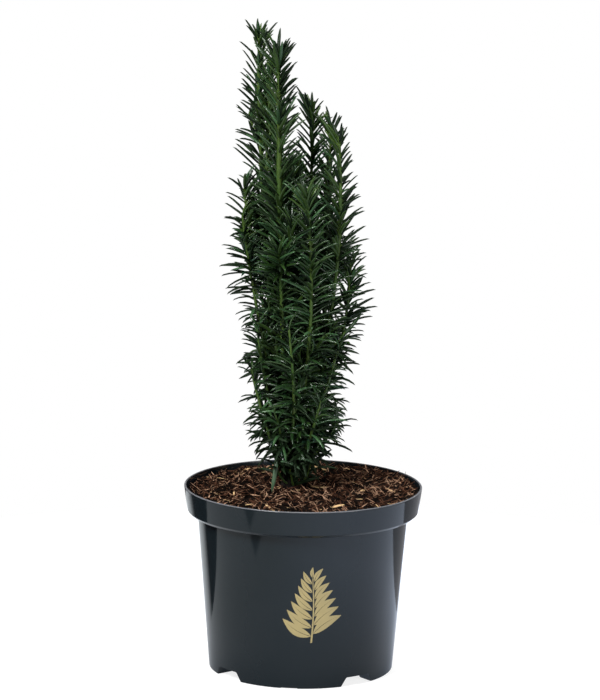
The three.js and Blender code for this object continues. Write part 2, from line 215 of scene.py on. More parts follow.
plus, minus, times, ratio = map(reckoner, ("ADD", "SUBTRACT", "MULTIPLY", "DIVIDE"))
most, least, below, above = map(reckoner, ("MAXIMUM", "MINIMUM", "LESS_THAN", "GREATER_THAN"))
power, exponent, timesPlus = map(reckoner, ("POWER", "EXPONENT", "MULTIPLY_ADD"))
sine, rounded, magnitude = map(reckoner, ("SINE", "ROUND", "ABSOLUTE"))
plusVector, minusVector, timesVector = map(vectorReckoner, ("ADD", "SUBTRACT", "MULTIPLY"))
crossed, unit, sizeOf = map(vectorReckoner, ("CROSS_PRODUCT", "NORMALIZE", "ABSOLUTE"))
lengthOf = vectorReckoner("LENGTH", "Value")
alignment = vectorReckoner("DOT_PRODUCT", "Value")
distance = vectorReckoner("DISTANCE", "Value")


def scaled(vector, factor):
    return outputOf("ShaderNodeVectorMath", {0: vector, "Scale": factor}, operation="SCALE")


def mapped(value, low=0.0, high=1.0, toLow=0.0, toHigh=1.0):
    spread = {"Value": value, "From Min": low, "From Max": high, "To Min": toLow, "To Max": toHigh}
    return outputOf("ShaderNodeMapRange", spread)


def partsOf(vector):
    return addNode(vector.id_data, "ShaderNodeSeparateXYZ", {0: vector}).outputs


def joined(*parts):
    return outputOf("ShaderNodeCombineXYZ", dict(enumerate(parts)))


def turnedAbout(vector, axis, angle):
    values = {"Vector": vector, "Axis": axis, "Angle": angle}
    return outputOf("ShaderNodeVectorRotate", values, rotation_type="AXIS_ANGLE")


def mixColour(*values):
    # factor and two colours
    colours = [(*value, 1) if isinstance(value, tuple) else value for value in values]
    return outputOf("ShaderNodeMix", dict(zip((0, 6, 7), colours)), 2, data_type="RGBA")


def noiseIn(place, scale, detail):
    return outputOf("ShaderNodeTexNoise", {"Vector": place, "Scale": scale, "Detail": detail})


def ownPlace(tree):
    return sourceOf(tree, "ShaderNodeTexCoord", "Object")


def randomIn(tree, low, high, seed):
    return addNode(tree, "FunctionNodeRandomValue", {2: low, 3: high, "Seed": seed}).outputs[1]


def eitherWay(amount, seed):
    return randomIn(amount.id_data, times(amount, -1.0), amount, seed)


def named(tree, name, kind="FLOAT"):
    return addNode(tree, "GeometryNodeInputNamedAttribute", {"Name": name}, data_type=kind).outputs[0]


def stored(geometry, **values):
    # by the name of each attribute
    for name, value in values.items():
        inputs = {"Geometry": geometry, "Name": name, "Value": value}
        geometry = outputOf("GeometryNodeStoreNamedAttribute", inputs, data_type="FLOAT", domain="POINT")
    return geometry


def placeIn(tree):
    return sourceOf(tree, "GeometryNodeInputPosition")


def normalIn(tree):
    return sourceOf(tree, "GeometryNodeInputNormal")


def moved(geometry, how, place):
    # how is Offset or Position
    return outputOf("GeometryNodeSetPosition", {"Geometry": geometry, how: place})


def dressed(geometry, material, where=True):
    values = {"Geometry": geometry, "Selection": where, "Material": material}
    return outputOf("GeometryNodeSetMaterial", values)


def realized(geometry):
    return outputOf("GeometryNodeRealizeInstances", {"Geometry": geometry})


def shapeOf(thing):
    return outputOf("GeometryNodeObjectInfo", {"Object": thing}, "Geometry")


def onPoints(points, collection, values):
    # one of the collection's shapes on each point
    whole = {"Collection": collection, "Separate Children": True, "Reset Children": True}
    shapes = outputOf("GeometryNodeCollectionInfo", whole)
    values = {"Points": points, "Instance": shapes, "Pick Instance": True, **values}
    return outputOf("GeometryNodeInstanceOnPoints", values)


def labelOf(name):
    return "".join(" " + c if c.isupper() else c for c in name).title()


def geometryTree(name, inputs):
    # an input's value is its first one, or the kind of thing that it takes
    tree = bpy.data.node_groups.new(name, "GeometryNodeTree")
    tree.interface.new_socket("Geometry", in_out="OUTPUT", socket_type="NodeSocketGeometry")
    kinds = {float: "Float", int: "Int", list: "Vector"}
    for label, value in inputs.items():
        kind = "NodeSocket" + (value if isinstance(value, str) else kinds[type(value)])
        socket = tree.interface.new_socket(labelOf(label), in_out="INPUT", socket_type=kind)
        if not isinstance(value, str):
            socket.default_value = value
    source = tree.nodes.new("NodeGroupInput").outputs
    result = tree.nodes.new("NodeGroupOutput").inputs["Geometry"]
    return tree, SimpleNamespace(**{label: source[labelOf(label)] for label in inputs}), result


def grow(name, tree, **values):
    # runs a tree on an empty mesh
    host = addObject(name, bpy.data.meshes.new(name))
    modifier = host.modifiers.new("grow", "NODES")
    modifier.node_group = tree
    inputs = [item for item in tree.interface.items_tree if item.in_out == "INPUT"]
    identifiers = {item.name: item.identifier for item in inputs}
    for label, value in values.items():
        modifier[identifiers[labelOf(label)]] = value
    return evaluated(host)


def curveObject(name, lines):
    # lines are (points, radii, looseness). The looseness is how much further the line's needles open
    data = bpy.data.curves.new(name, "CURVE")
    data.dimensions = "3D"
    for points, radii, loose in lines:
        spline = data.splines.new("POLY")
        spline.points.add(len(points) - 1)
        for place, point, radius in zip(spline.points, points, radii):
            place.co = (*metres(point), 1)
            place.radius = radius * mm
            place.tilt = loose
    return addObject(name, data)


def collectionOf(name, meshes):
    made = bpy.data.collections.new(name)
    bpy.context.scene.collection.children.link(made)
    for i, mesh in enumerate(meshes):
        made.objects.link(bpy.data.objects.new(f"{name}{i:02d}", mesh))
    return made


def discardCollection(made):
    discard(*made.objects)
    bpy.data.collections.remove(made)


def shaderGroup(name, inputs, outputs):
    group = bpy.data.node_groups.new(name, "ShaderNodeTree")
    for label, value in inputs.items():
        socket = group.interface.new_socket(label, in_out="INPUT", socket_type="NodeSocketFloat")
        socket.default_value = value
    for label in outputs:
        group.interface.new_socket(label, in_out="OUTPUT", socket_type="NodeSocketFloat")
    return group, group.nodes.new("NodeGroupInput").outputs, group.nodes.new("NodeGroupOutput").inputs


def makeGrain():
    # a cloudy mask and a fine one, both from the object's own coordinates
    group, given, result = shaderGroup(
        "grain", {"Scale": 60, "Fine Scale": 900, "Stretch": 1}, ["Clouds", "Fine"]
    )
    place = timesVector(ownPlace(group), joined(1.0, 1.0, given["Stretch"]))
    for label, scale, detail in (("Clouds", "Scale", 4.0), ("Fine", "Fine Scale", 3.0)):
        put(result[label], mapped(noiseIn(place, given[scale], detail), 0.3, 0.7))
    return group


def makeDust():
    # more on faces that look up, in patches
    group, given, result = shaderGroup("dust", {"Amount": 0.3, "Scale": 150}, ["Dust"])
    facing = mapped(partsOf(sourceOf(group, "ShaderNodeNewGeometry", "Normal"))["Z"], 0.1)
    patchy = mapped(noiseIn(ownPlace(group), given["Scale"], 5.0), 0.4, 0.75)
    put(result["Dust"], times(times(facing, patchy), given["Amount"]))
    return group


grain = makeGrain()
dust = makeDust()
dustColour = (0.3, 0.28, 0.25)


def makeMaterial(name, colours, scales, roughness, bump, specular=0.5, stretch=1, settled=0, flecks=None):
    # two colours mixed by clouds, roughness and relief by the fine grain, and dust on top.
    # Bump is how strong and how deep, and flecks are their colour and share
    material = bpy.data.materials.new(name)
    material.use_nodes = True
    tree = material.node_tree
    shader = tree.nodes["Principled BSDF"].inputs
    values = {"Scale": scales[0], "Fine Scale": scales[1], "Stretch": stretch}
    clouds, fine = addNode(tree, "ShaderNodeGroup", values, node_tree=grain).outputs
    colour = mixColour(clouds, *colours)
    if flecks:
        share = times(fine, flecks[1])
        share.node.use_clamp = True
        colour = mixColour(share, colour, flecks[0])
    rough = mapped(fine, toLow=roughness[0], toHigh=roughness[1])
    if settled:
        values = {"Amount": settled, "Scale": scales[0] * 2}
        layer = addNode(tree, "ShaderNodeGroup", values, node_tree=dust).outputs[0]
        colour = mixColour(layer, colour, dustColour)
        rough = most(rough, layer)
    put(shader["Base Color"], colour)
    put(shader["Roughness"], rough)
    relief = {"Height": fine, "Strength": bump[0], "Distance": bump[1] * mm}
    put(shader["Normal"], outputOf("ShaderNodeBump", relief))
    shader["Specular IOR Level"].default_value = specular
    return material


view = {
    "place": (-4.117, -3432.66, 941.09),
    "pitch": 11.257,
    "roll": 0.839,
    "focal": 4413.67,  # in pixels, of a picture 700 high
    "tall": 700,
    "sensor": 36,
    "clip": (0.1, 60),  # in metres
}


def makeCamera():
    data = bpy.data.cameras.new("camera")
    data.sensor_width = view["sensor"]
    data.lens = view["focal"] * view["sensor"] / view["tall"]
    data.clip_start, data.clip_end = view["clip"]
    made = addObject("camera", data)
    tilt = Matrix.Rotation(math.pi / 2 - math.radians(view["pitch"]), 4, "X")
    roll = Matrix.Rotation(math.radians(view["roll"]), 4, "Z")
    made.matrix_world = Matrix.Translation(Vector(view["place"]) * mm) @ tilt @ roll
    bpy.context.scene.camera = made


studio = {
    "table": 560,
    "tableSides": 96,
    "tableHeight": -0.1,
    "tableColour": (0.26, 0.26, 0.26),
    "tableRoughness": 0.9,
    "tableGlow": 0.82,
    "surroundings": 0.065,
    # name, place, what it faces, size, watts
    "lamps": [
        ("keyLight", (-1100, -1300, 1700), (0, 0, 250), (700, 700), 80),
        ("fillLight", (1500, -1500, 800), (0, 0, 250), (700, 1200), 22),
        ("topLight", (100, -100, 2300), (0, 0, 0), (900, 900), 46),
        ("backLight", (350, 1900, 420), (0, 0, 300), (1600, 600), 70),
    ],
    "unseenInGloss": "backLight",  # it would glint along the pot's lip
    # name, how much it glows, seen only in the pot's gloss as a painted reflection, and two opposite corners
    # of a card beside the pot
    "cards": [
        ("leftCard", (0.036, 0.03, 0.03), (-145, 76, 0), (-700, 76, 300)),
        ("rightCard", (0.42, 0.42, 0.45), (122, 145, 0), (700, 145, 300)),
        ("frontCard", (0.3, 0.3, 0.3), (-250, -222, 0.5), (-500, -500, 0.5)),
    ],
    "cardColour": (0.002, 0.002, 0.002),
    # where a card fades out sideways, from full to gone
    "fades": {"leftCard": (-180, -145)},
    # how brightly the table glows for all but the camera, at the pot and away from it: dimmer at the pot, a
    # painted shadow round its foot
    "paintedShadeByPot": (0.36, 1.0, 75, 320),
    # its glow's tone at the left and at the right, and how far out: painted reflection tones, dim on the
    # left and bright blue on the right, for the pot's gloss
    "paintedReflectionTones": ((0.45, 0.525, 0.57), (1.2, 1.42, 1.85), 200),
    # how much of it lights dull things
    "dullGlow": 0.5,
}


def tableGlow(tree):
    # the table glows though it is no lamp: a little dimmer beside the pot, a painted shadow, and dimmer to
    # the left and brighter and bluer to the right, painted reflections as the pot's gloss shows them
    place = ownPlace(tree)
    low, high, inner, outer = studio["paintedShadeByPot"]
    near = mapped(lengthOf(place), inner * mm, outer * mm, low, high)
    left, right, reach = studio["paintedReflectionTones"]
    side = mapped(partsOf(place)["X"], -reach * mm, reach * mm)
    rays = addNode(tree, "ShaderNodeLightPath").outputs
    level = times(near, mapped(rays["Is Diffuse Ray"], toLow=1.0, toHigh=studio["dullGlow"]))
    thrown = scaled(mixColour(side, left, right), level)
    return mixColour(rays["Is Camera Ray"], thrown, (1, 1, 1))


def glowing(thing, name, colour, strength):
    # a matt material with a light of its own
    material = bpy.data.materials.new(name)
    material.use_nodes = True
    shader = material.node_tree.nodes["Principled BSDF"].inputs
    shader["Base Color"].default_value = (*colour, 1)
    shader["Specular IOR Level"].default_value = 0
    shader["Emission Strength"].default_value = strength
    thing.data.materials.append(material)
    return material.node_tree, shader


def makeStudio():
    # the camera sees white all round, the plant a dim room with soft lamps over a table that glows
    world = bpy.data.worlds.new("studio")
    bpy.context.scene.world = world
    world.use_nodes = True
    background = world.node_tree.nodes["Background"].inputs
    seen = addNode(world.node_tree, "ShaderNodeLightPath").outputs["Is Camera Ray"]
    background["Color"].default_value = (1, 1, 1, 1)
    put(background["Strength"], mapped(seen, toLow=studio["surroundings"]))
    bpy.context.scene.view_settings.view_transform = "Standard"
    for name, place, target, size, watts in studio["lamps"]:
        data = bpy.data.lights.new(name, "AREA")
        data.shape = "RECTANGLE"
        data.size, data.size_y = metres(size)
        data.energy = watts
        lamp = addObject(name, data)
        lamp.location = Vector(place) * mm
        lamp.rotation_euler = (Vector(target) - Vector(place)).to_track_quat("-Z", "Y").to_euler()
        lamp.visible_glossy = name != studio["unseenInGloss"]
    sides = studio["tableSides"]
    rim = [onRing(studio["table"], angle, studio["tableHeight"]) for angle in ringAngles(sides)]
    table = meshObject("table", rim, [list(range(sides))])
    tree, shader = glowing(table, "paleTable", studio["tableColour"], studio["tableGlow"])
    put(shader["Emission Color"], tableGlow(tree))
    shader["Roughness"].default_value = studio["tableRoughness"]


def makeCards():
    # cards beside the pot, which only its gloss sees: glowing and dark sheets that put painted reflections
    # into it
    for name, colour, (left, near, low), (right, far, high) in studio["cards"]:
        corners = [(left, near, low), (right, near, low), (right, far, high), (left, far, high)]
        card = meshObject(name, corners, [list(range(4))])
        tree, shader = glowing(card, name, studio["cardColour"], 1)
        shader["Emission Color"].default_value = (*colour, 1)
        if name in studio["fades"]:
            aside = partsOf(ownPlace(tree))["X"]
            put(shader["Alpha"], mapped(aside, *metres(studio["fades"][name]), 1.0, 0.0))
        card.visible_camera = False
        card.visible_diffuse = False
        card.visible_shadow = False
        card.visible_transmission = False


makeCamera()
makeStudio()
makeCards()
print("camera, floor and lights set")

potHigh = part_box("pot")[1]
pot = {
    "height": potHigh.z / mm,
    "rimRadius": potHigh.x / mm,
    "collarHeight": 22.3,
    "collarFootRadius": 92.3,
    "tuck": (2.2, 3),
    "wallTopRadius": 84,
    "wallFootRadius": 73.4,
    "wall": 1.6,
    "floorLift": 7.5,
    "ringWidth": 14,
    "notches": 4,
    "notchFirst": 38,  # degrees from -Y towards +X
    "notchWidths": (32, 22),  # at the foot and at the top
    "notchRound": 2,
    "reliefWidth": 13,
    "reliefHeight": 0.6,
    "holeRadius": 4.5,
    "holeRing": 40,
    "holeHeights": (-2, 18),
    "holeSides": 32,
    "barLength": 40,
    "lipRound": 0.75,
    "sides": 240,
    "sharpAbove": 32,
    # a pale grey painted on the lip's top edge: a painted highlight, where the rounded lip would catch the
    # light
    "lipHighlightTone": (0.11, 0.113, 0.122),
    "lipHighlightSpan": (0.9, 0.3),  # of the lip's rounding, below its top: where the painted highlight begins and is full
}
collarFoot = pot["height"] - pot["collarHeight"]
plasticLook = {
    "colours": ((0.0045, 0.0082, 0.0105), (0.0058, 0.0096, 0.012)),
    "scales": (25, 500),
    "roughness": (0.07, 0.1),
    "bump": (0.04, 0.02),
    "settled": 0.06,
    "specular": 0.27,
}


def filleted(corners, steps=5):
    # corners are (x, y, radius of the rounding), where 0 keeps the corner
    points = []
    for i, (x, y, radius) in enumerate(corners):
        here = Vector((x, y))
        if radius == 0:
            points.append(here)
            continue
        back = (Vector(corners[i - 1][:2]) - here).normalized()
        ahead = (Vector(corners[(i + 1) % len(corners)][:2]) - here).normalized()
        reach = radius / math.tan(back.angle(ahead) / 2)
        curve = (here + back * reach, here, here + ahead * reach)
        points += [bent(*curve, step / steps) for step in range(steps + 1)]
    return points


def turned(name, outline, sides):
    # revolves an outline that starts and ends on the axis
    points = []
    rings = []
    for radius, height in outline:
        if radius < 1e-6:
            rings.append([len(points)] * sides)
            points.append((0, 0, height))
            continue
        rings.append(list(range(len(points), len(points) + sides)))
        points += [onRing(radius, angle, height) for angle in ringAngles(sides)]
    faces = []
    for low, high in zip(rings, rings[1:]):
        for i in range(sides):
            j = (i + 1) % sides
            corners = [low[i], low[j], high[j], high[i]]
            faces.append([c for k, c in enumerate(corners) if c != corners[k - 1]])
    return meshObject(name, points, faces)


def potOutline(inset, top):
    collarFull = collarFoot + pot["tuck"][1]
    ringInner = pot["wallFootRadius"] - pot["ringWidth"]
    lean = (top - collarFull) / (pot["height"] - collarFull)
    topRadius = lerp(pot["collarFootRadius"], pot["rimRadius"], lean)
    return filleted([
        (0, pot["floorLift"] + inset, 0),
        (ringInner - 2 + inset, pot["floorLift"] + inset, 0.8),
        (ringInner + inset, inset, 0.6),
        (pot["wallFootRadius"] - inset, inset, 1.0),
        (pot["wallTopRadius"] - inset, collarFoot + inset, 0.5),
        (pot["collarFootRadius"] - pot["tuck"][0] - inset, collarFoot + 0.8 + inset, 0.7),
        (pot["collarFootRadius"] - inset, collarFull, 1.0),
        (topRadius - inset, top, pot["lipRound"] if inset == 0 else 0),
        (0, top, 0),
    ])


def barsRound(name, section, deeper, first):
    # an upright section laid outwards through the foot ring, beside each notch
    inner = pot["wallFootRadius"] - pot["ringWidth"] - deeper
    count = len(section)
    faces = [list(range(count))[::-1], list(range(count, 2 * count)), *bands(2, count)]
    bars = []
    for i in range(pot["notches"]):
        turn = Matrix.Rotation(math.radians(first + i * 360 / pot["notches"]), 4, "Z")
        depths = (inner, inner + pot["barLength"])
        points = [turn @ Vector((x, -depth, z)) for depth in depths for x, z in section]
        bars.append(meshObject(f"{name}{i}", points, faces))
    return bars


def notchBars(extra):
    foot, top = (width / 2 + extra for width in pot["notchWidths"])
    height, rounding = pot["floorLift"] + extra, pot["notchRound"]
    corners = [(-foot, -1, 0), (foot, -1, 0), (top, height, rounding), (-top, height, rounding)]
    return barsRound("notchBar", filleted(corners), 8, pot["notchFirst"])


def reliefBars():
    half, height = pot["reliefWidth"] / 2, pot["reliefHeight"]
    section = [(-half - 1, -1), (half + 1, -1), (half, height), (-half, height)]
    return barsRound("reliefBar", section, 2, pot["notchFirst"] - 180 / pot["notches"])


def drainHoles():
    radius, (low, high) = pot["holeRadius"], pot["holeHeights"]
    holes = []
    for i in range(pot["notches"]):
        hole = turned(f"hole{i}", [(0, low), (radius, low), (radius, high), (0, high)], pot["holeSides"])
        place = onRing(pot["holeRing"], math.radians(pot["notchFirst"] + i * 360 / pot["notches"]), 0)
        hole.data.transform(Matrix.Translation(Vector(place) * mm))
        holes.append(hole)
    return holes


def carve(thing, tools):
    outwards(thing)
    for tool in tools:
        outwards(tool)
        cut = thing.modifiers.new("cut", "BOOLEAN")
        cut.operation = "DIFFERENCE"
        cut.solver = "EXACT"
        cut.object = tool
    evaluated(thing)
    discard(*tools)
    return thing


def paintedLipHighlight(material):
    # the lip's top edge is painted pale grey, a painted highlight along it
    base = material.node_tree.nodes["Principled BSDF"].inputs["Base Color"]
    low, high = ((pot["height"] - pot["lipRound"] * share) * mm for share in pot["lipHighlightSpan"])
    lipHighlightTone = mapped(partsOf(ownPlace(material.node_tree))["Z"], low, high)
    put(base, mixColour(lipHighlightTone, base.links[0].from_socket, pot["lipHighlightTone"]))


def makePot():
    shell = turned("pot_shell", potOutline(0, pot["height"]), pot["sides"])
    carve(shell, notchBars(0) + reliefBars())
    hollow = turned("inside", potOutline(pot["wall"], pot["height"] + 1), pot["sides"])
    carve(shell, [carve(hollow, notchBars(pot["wall"])), *drainHoles()])
    shadeSmooth(outwards(shell), pot["sharpAbove"])
    shell.modifiers.new("weighted", "WEIGHTED_NORMAL").keep_sharp = True
    plastic = makeMaterial("anthracitePlastic", **plasticLook)
    paintedLipHighlight(plastic)
    finishPiece(evaluated(shell), ["pot"], plastic)


makePot()

# a sprig printed on the pot
sprig = {
    "middle": (6.0, 69.5),  # degrees from -Y towards +X, and height
    "tall": 62,
    "stalkShare": 0.86,
    "stalkWidths": (1.5, 0.5),  # at its foot and at its top
    "stalkSteps": 24,
    "bow": 1.2,
    "pairs": 7,
    "leafLength": (29, 11),  # lowest and highest
    "leafWidth": 0.3,  # of its length
    "leafLean": (62, 30),
    "leafSteps": 12,
    "leafRoot": (0.9, 1.1),  # aside of the stalk and above it
    "topLeaf": 0.14,  # of the sprig's height
    "midrib": 0.5,
    "lift": 0.12,
    "depth": 0.3,
    "sharpAbove": 40,
}
goldLook = {
    "colours": ((0.36, 0.285, 0.125), (0.31, 0.25, 0.115)),
    "scales": (90, 2200),
    "roughness": (0.35, 0.5),
    "bump": (0.1, 0.04),
    "specular": 0.4,
}


def wallRadius(height):
    return lerp(pot["wallFootRadius"], pot["wallTopRadius"], height / collarFoot)


def onWall(aside, height):
    z = sprig["middle"][1] + height
    angle = math.radians(sprig["middle"][0]) + aside / wallRadius(sprig["middle"][1])
    return onRing(wallRadius(z) + sprig["lift"], angle, z)


def halfLeaf(root, length, lean, side):
    # from the midrib's gap to the edge on one side
    along = Vector((math.sin(lean), math.cos(lean)))
    across = Vector((along.y, -along.x)) * side
    rows = []
    for i in range(sprig["leafSteps"] + 1):
        s = i / sprig["leafSteps"]
        bulge = math.sin(math.pi * s**0.85) ** 0.9 * sprig["leafWidth"] * length / 2 + 0.12
        gap = min(sprig["midrib"] / 2 * (1 - s), bulge * 0.7)
        line = root + along * length * s + across * 0.08 * length * math.sin(math.pi * s) * -side
        rows.append([line + across * (gap + (bulge - gap) * share) for share in (0, 0.5, 1)])
    return rows


def sprigStrips():
    foot = -sprig["tall"] / 2
    top = sprig["tall"] * sprig["stalkShare"] + foot

    def stalkAt(t):
        return Vector((sprig["bow"] * math.sin(t * math.pi), lerp(foot, top, t)))

    shares = [i / sprig["stalkSteps"] for i in range(sprig["stalkSteps"] + 1)]
    halves = [Vector((lerp(*sprig["stalkWidths"], t) / 2, 0)) for t in shares]
    strips = [[[stalkAt(t) - half, stalkAt(t) + half] for t, half in zip(shares, halves)]]
    for i in range(sprig["pairs"]):
        t = (i + 0.9) / (sprig["pairs"] + 0.4)
        length = lerp(*sprig["leafLength"], t)
        lean = math.radians(lerp(*sprig["leafLean"], t))
        for hand in (-1, 1):
            root = stalkAt(t) + Vector(sprig["leafRoot"]) * hand
            strips += [halfLeaf(root, length, lean * hand, side) for side in (-1, 1)]
    root = Vector((0, top + 0.4))
    return strips + [halfLeaf(root, sprig["tall"] * sprig["topLeaf"], 0, side) for side in (-1, 1)]


def faceOut(thing):
    # turns each face away from the pot's axis
    shape = bmesh.new()
    shape.from_mesh(thing.data)
    for face in shape.faces:
        face.normal_update()
        middle = face.calc_center_median()
        if face.normal.dot(Vector((middle.x, middle.y, 0))) < 0:
            face.normal_flip()
    shape.to_mesh(thing.data)
    shape.free()


def makeSprig():
    points = []
    faces = []
    for rows in sprigStrips():
        wide = len(rows[0])
        for i in range(len(rows) - 1):
            for corner in range(len(points) + i * wide, len(points) + (i + 1) * wide - 1):
                faces.append((corner, corner + 1, corner + wide + 1, corner + wide))
        points += [onWall(p.x, p.y) for row in rows for p in row]
    piece = meshObject("sprig_print", points, faces)
    faceOut(piece)
    solid = piece.modifiers.new("solid", "SOLIDIFY")
    solid.thickness = sprig["depth"] * mm
    solid.offset = -1
    shadeSmooth(evaluated(piece), sprig["sharpAbove"])
    finishPiece(piece, (), makeMaterial("goldPrint", **goldLook))


makeSprig()
print("pot made")

filling = {
    "edge": 142.8,
    "crown": 146.8,
    "clear": 0.3,
    "rings": 84,
    "sides": 260,
    "reach": 90,
    "lumps": (0.12, 1.6),  # how often, in each millimetre, and how high
    "crumbs": (0.42, 1.1),
    # place, radius and depth
    "hollows": [(20, 52, 11, 5), (-12, -3, 13, 1.5)],
    "skirt": 9.5,  # height of its underside
    "heap": (0.8, 0.6, 2.4),  # it lies higher against one side: towards where, and how much
}
# the ground under the shreds is near-black: partly the damp bark's own dark colour, partly painted shade in
# the gaps between the shreds
soilLook = {
    "colours": ((0.001, 0.0006, 0.0004), (0.004, 0.0022, 0.0014)),
    "scales": (260, 1500),
    "roughness": (0.75, 0.95),
    "bump": (0.8, 0.6),
    "flecks": ((0.03, 0.016, 0.01), 0.12),
    "specular": 0.05,
}


def barkHeight(x, y):
    inward = 1 - min(1, math.hypot(x, y) / filling["reach"]) ** 2
    height = filling["edge"] + (filling["crown"] - filling["edge"]) * inward
    rightward, backward, rise = filling["heap"]
    near = clamp((x * rightward + y * backward) / filling["reach"])
    height += rise * near * near
    for often, tall in (filling["lumps"], filling["crumbs"]):
        height += tall * noise.noise(Vector((x * often, y * often, tall)))
    for left, back, radius, depth in filling["hollows"]:
        away = math.hypot(x - left, y - back) / radius
        height -= depth * math.exp(-away * away)
    return height


def insideRadius(height):
    # of the pot's inner wall
    if height < collarFoot + pot["wall"]:
        return wallRadius(height) - pot["wall"]
    share = clamp((height - collarFoot - pot["tuck"][1]) / (pot["collarHeight"] - pot["tuck"][1]))
    return lerp(pot["collarFootRadius"], pot["rimRadius"], share) - pot["wall"]


def makeFilling():
    sides = filling["sides"]
    top = insideRadius(filling["edge"]) - filling["clear"]
    points = [(0, 0, barkHeight(0, 0))]
    for ring in range(1, filling["rings"] + 1):
        for angle in ringAngles(sides):
            x, y, _ = onRing(top * ring / filling["rings"], angle, 0)
            points.append((x, y, barkHeight(x, y)))
    # down the pot's wall: the height that gives the radius, and that of the ring
    skirt = filling["skirt"]
    wall = [(collarFoot + 5, collarFoot + 5), (collarFoot + 1, collarFoot + 2.4), (60, 60), (skirt, skirt)]
    for level, height in wall:
        points += [onRing(insideRadius(level) - filling["clear"], a, height) for a in ringAngles(sides)]
    points.append((0, 0, skirt))
    rings = filling["rings"] + len(wall)
    last = 1 + (rings - 1) * sides
    faces = [(0, 1 + i, 1 + (i + 1) % sides) for i in range(sides)]
    faces += bands(rings, sides, 1, flipped=True)
    faces += [(len(points) - 1, last + (i + 1) % sides, last + i) for i in range(sides)]
    piece = outwards(meshObject("bark_filling", points, faces))
    shadeSmooth(piece)
    return finishPiece(piece, ["potting_bark"], makeMaterial("dampBark", **soilLook))


barkPiece = makeFilling()

# density is how many lie on each square metre, and lift how high
shredKinds = {
    "dark": {
        "length": (5, 11),
        "width": (0.7, 1.5),
        "thickness": 0.7,
        "bend": 0.22,
        "density": 46000,
        "lift": 2.0,
        "tilt": 0.5,
        "colours": ((0.0015, 0.0009, 0.0006), (0.005, 0.003, 0.002)),
    },
    "russet": {
        "length": (3.5, 11),
        "width": (0.4, 0.9),
        "thickness": 0.5,
        "bend": 0.12,
        "density": 56000,
        "lift": 2.4,
        "tilt": 0.9,
        "colours": ((0.008, 0.0035, 0.0022), (0.105, 0.047, 0.027)),
    },
    "tan": {
        "length": (3.5, 11),
        "width": (0.28, 0.66),
        "thickness": 0.42,
        "bend": 0.08,
        "density": 34000,
        "lift": 2.8,
        "tilt": 0.8,
        "colours": ((0.14, 0.072, 0.042), (0.5, 0.31, 0.2)),
    },
    "pale": {
        "length": (6, 12),
        "width": (1.0, 2.4),
        "thickness": 0.6,
        "bend": 0.15,
        "density": 1500,
        "lift": 2.6,
        "tilt": 0.4,
        "colours": ((0.42, 0.27, 0.14), (0.56, 0.4, 0.2)),
    },
}
shred = {
    "shapes": 8,
    "stations": 5,
    "firstSeed": 21,
    "look": {"scales": (190, 2600), "roughness": (0.65, 0.9), "bump": (0.5, 0.15), "specular": 0.03},
}


def shredMesh(name, length, width, thickness, bend, roll):
    # a torn strip with ragged ends, bent along its length, lying along X
    stations = shred["stations"]
    points = []
    for i in range(stations):
        s = i / (stations - 1)
        end = min(1, 0.45 + 2.4 * min(s, 1 - s))
        half = width / 2 * end * roll(0.75, 1.15)
        deep = thickness / 2 * end
        x = (s - 0.5) * length
        y = bend * length * (s - 0.5) ** 2 * 2 + roll(-0.06, 0.06) * width
        z = bend * length * 0.5 * math.sin(math.pi * s) + roll(-0.2, 0.2) * thickness
        skew = roll(-0.3, 0.3) * width
        points += [(x + skew, y - half, z), (x, y, z + deep), (x - skew, y + half, z), (x, y, z - deep)]
    ends = [(3, 2, 1, 0), tuple(range(4 * stations - 4, 4 * stations))]
    return meshFrom(name, points, ends + bands(stations, 4))


def makeShredTree():
    tree, given, result = geometryTree(
        "shredsOnBark",
        {
            "ground": "Object",
            "shreds": "Collection",
            "kinds": 6,
            "density": 100000.0,
            "facing": 0.2,
            "spread": 0.09,
            "wall": 0.0915,
            "depth": 0.001,
            "lift": 0.002,
            "tilt": 0.5,
            "smallest": 0.6,
            "largest": 1.4,
            "material": "Material",
            "seed": 1,
        },
    )
    here = placeIn(tree)
    away = lengthOf(timesVector(here, (1, 1, 0)))
    chosen = times(above(partsOf(normalIn(tree))["Z"], given.facing), below(away, given.spread))
    values = {"Selection": chosen, "Density": given.density, "Seed": given.seed}
    values["Mesh"] = shapeOf(given.ground)
    points = outputOf("GeometryNodeDistributePointsOnFaces", values, "Points")
    rise = mapped(randomIn(tree, 0.0, 1.0, given.seed), toLow=times(given.depth, -1.0), toHigh=given.lift)
    spin = joined(eitherWay(given.tilt, 11), eitherWay(given.tilt, 12), randomIn(tree, 0.0, 2 * math.pi, 13))
    values = {4: 0, 5: minus(given.kinds, 1.0), "Seed": 15}
    pick = outputOf("FunctionNodeRandomValue", values, 2, data_type="INT")
    placed = onPoints(
        moved(points, "Offset", scaled((0, 0, 1), rise)),
        given.shreds,
        {
            "Instance Index": pick,
            "Rotation": spin,
            "Scale": randomIn(tree, given.smallest, given.largest, 14),
        },
    )
    # what would reach past the pot's wall is bent in against it
    x, y, z = partsOf(here)
    shrink = least(ratio(given.wall, away), 1.0)
    pulled = moved(realized(placed), "Position", joined(times(x, shrink), times(y, shrink), z))
    put(result, dressed(pulled, given.material))
    return tree


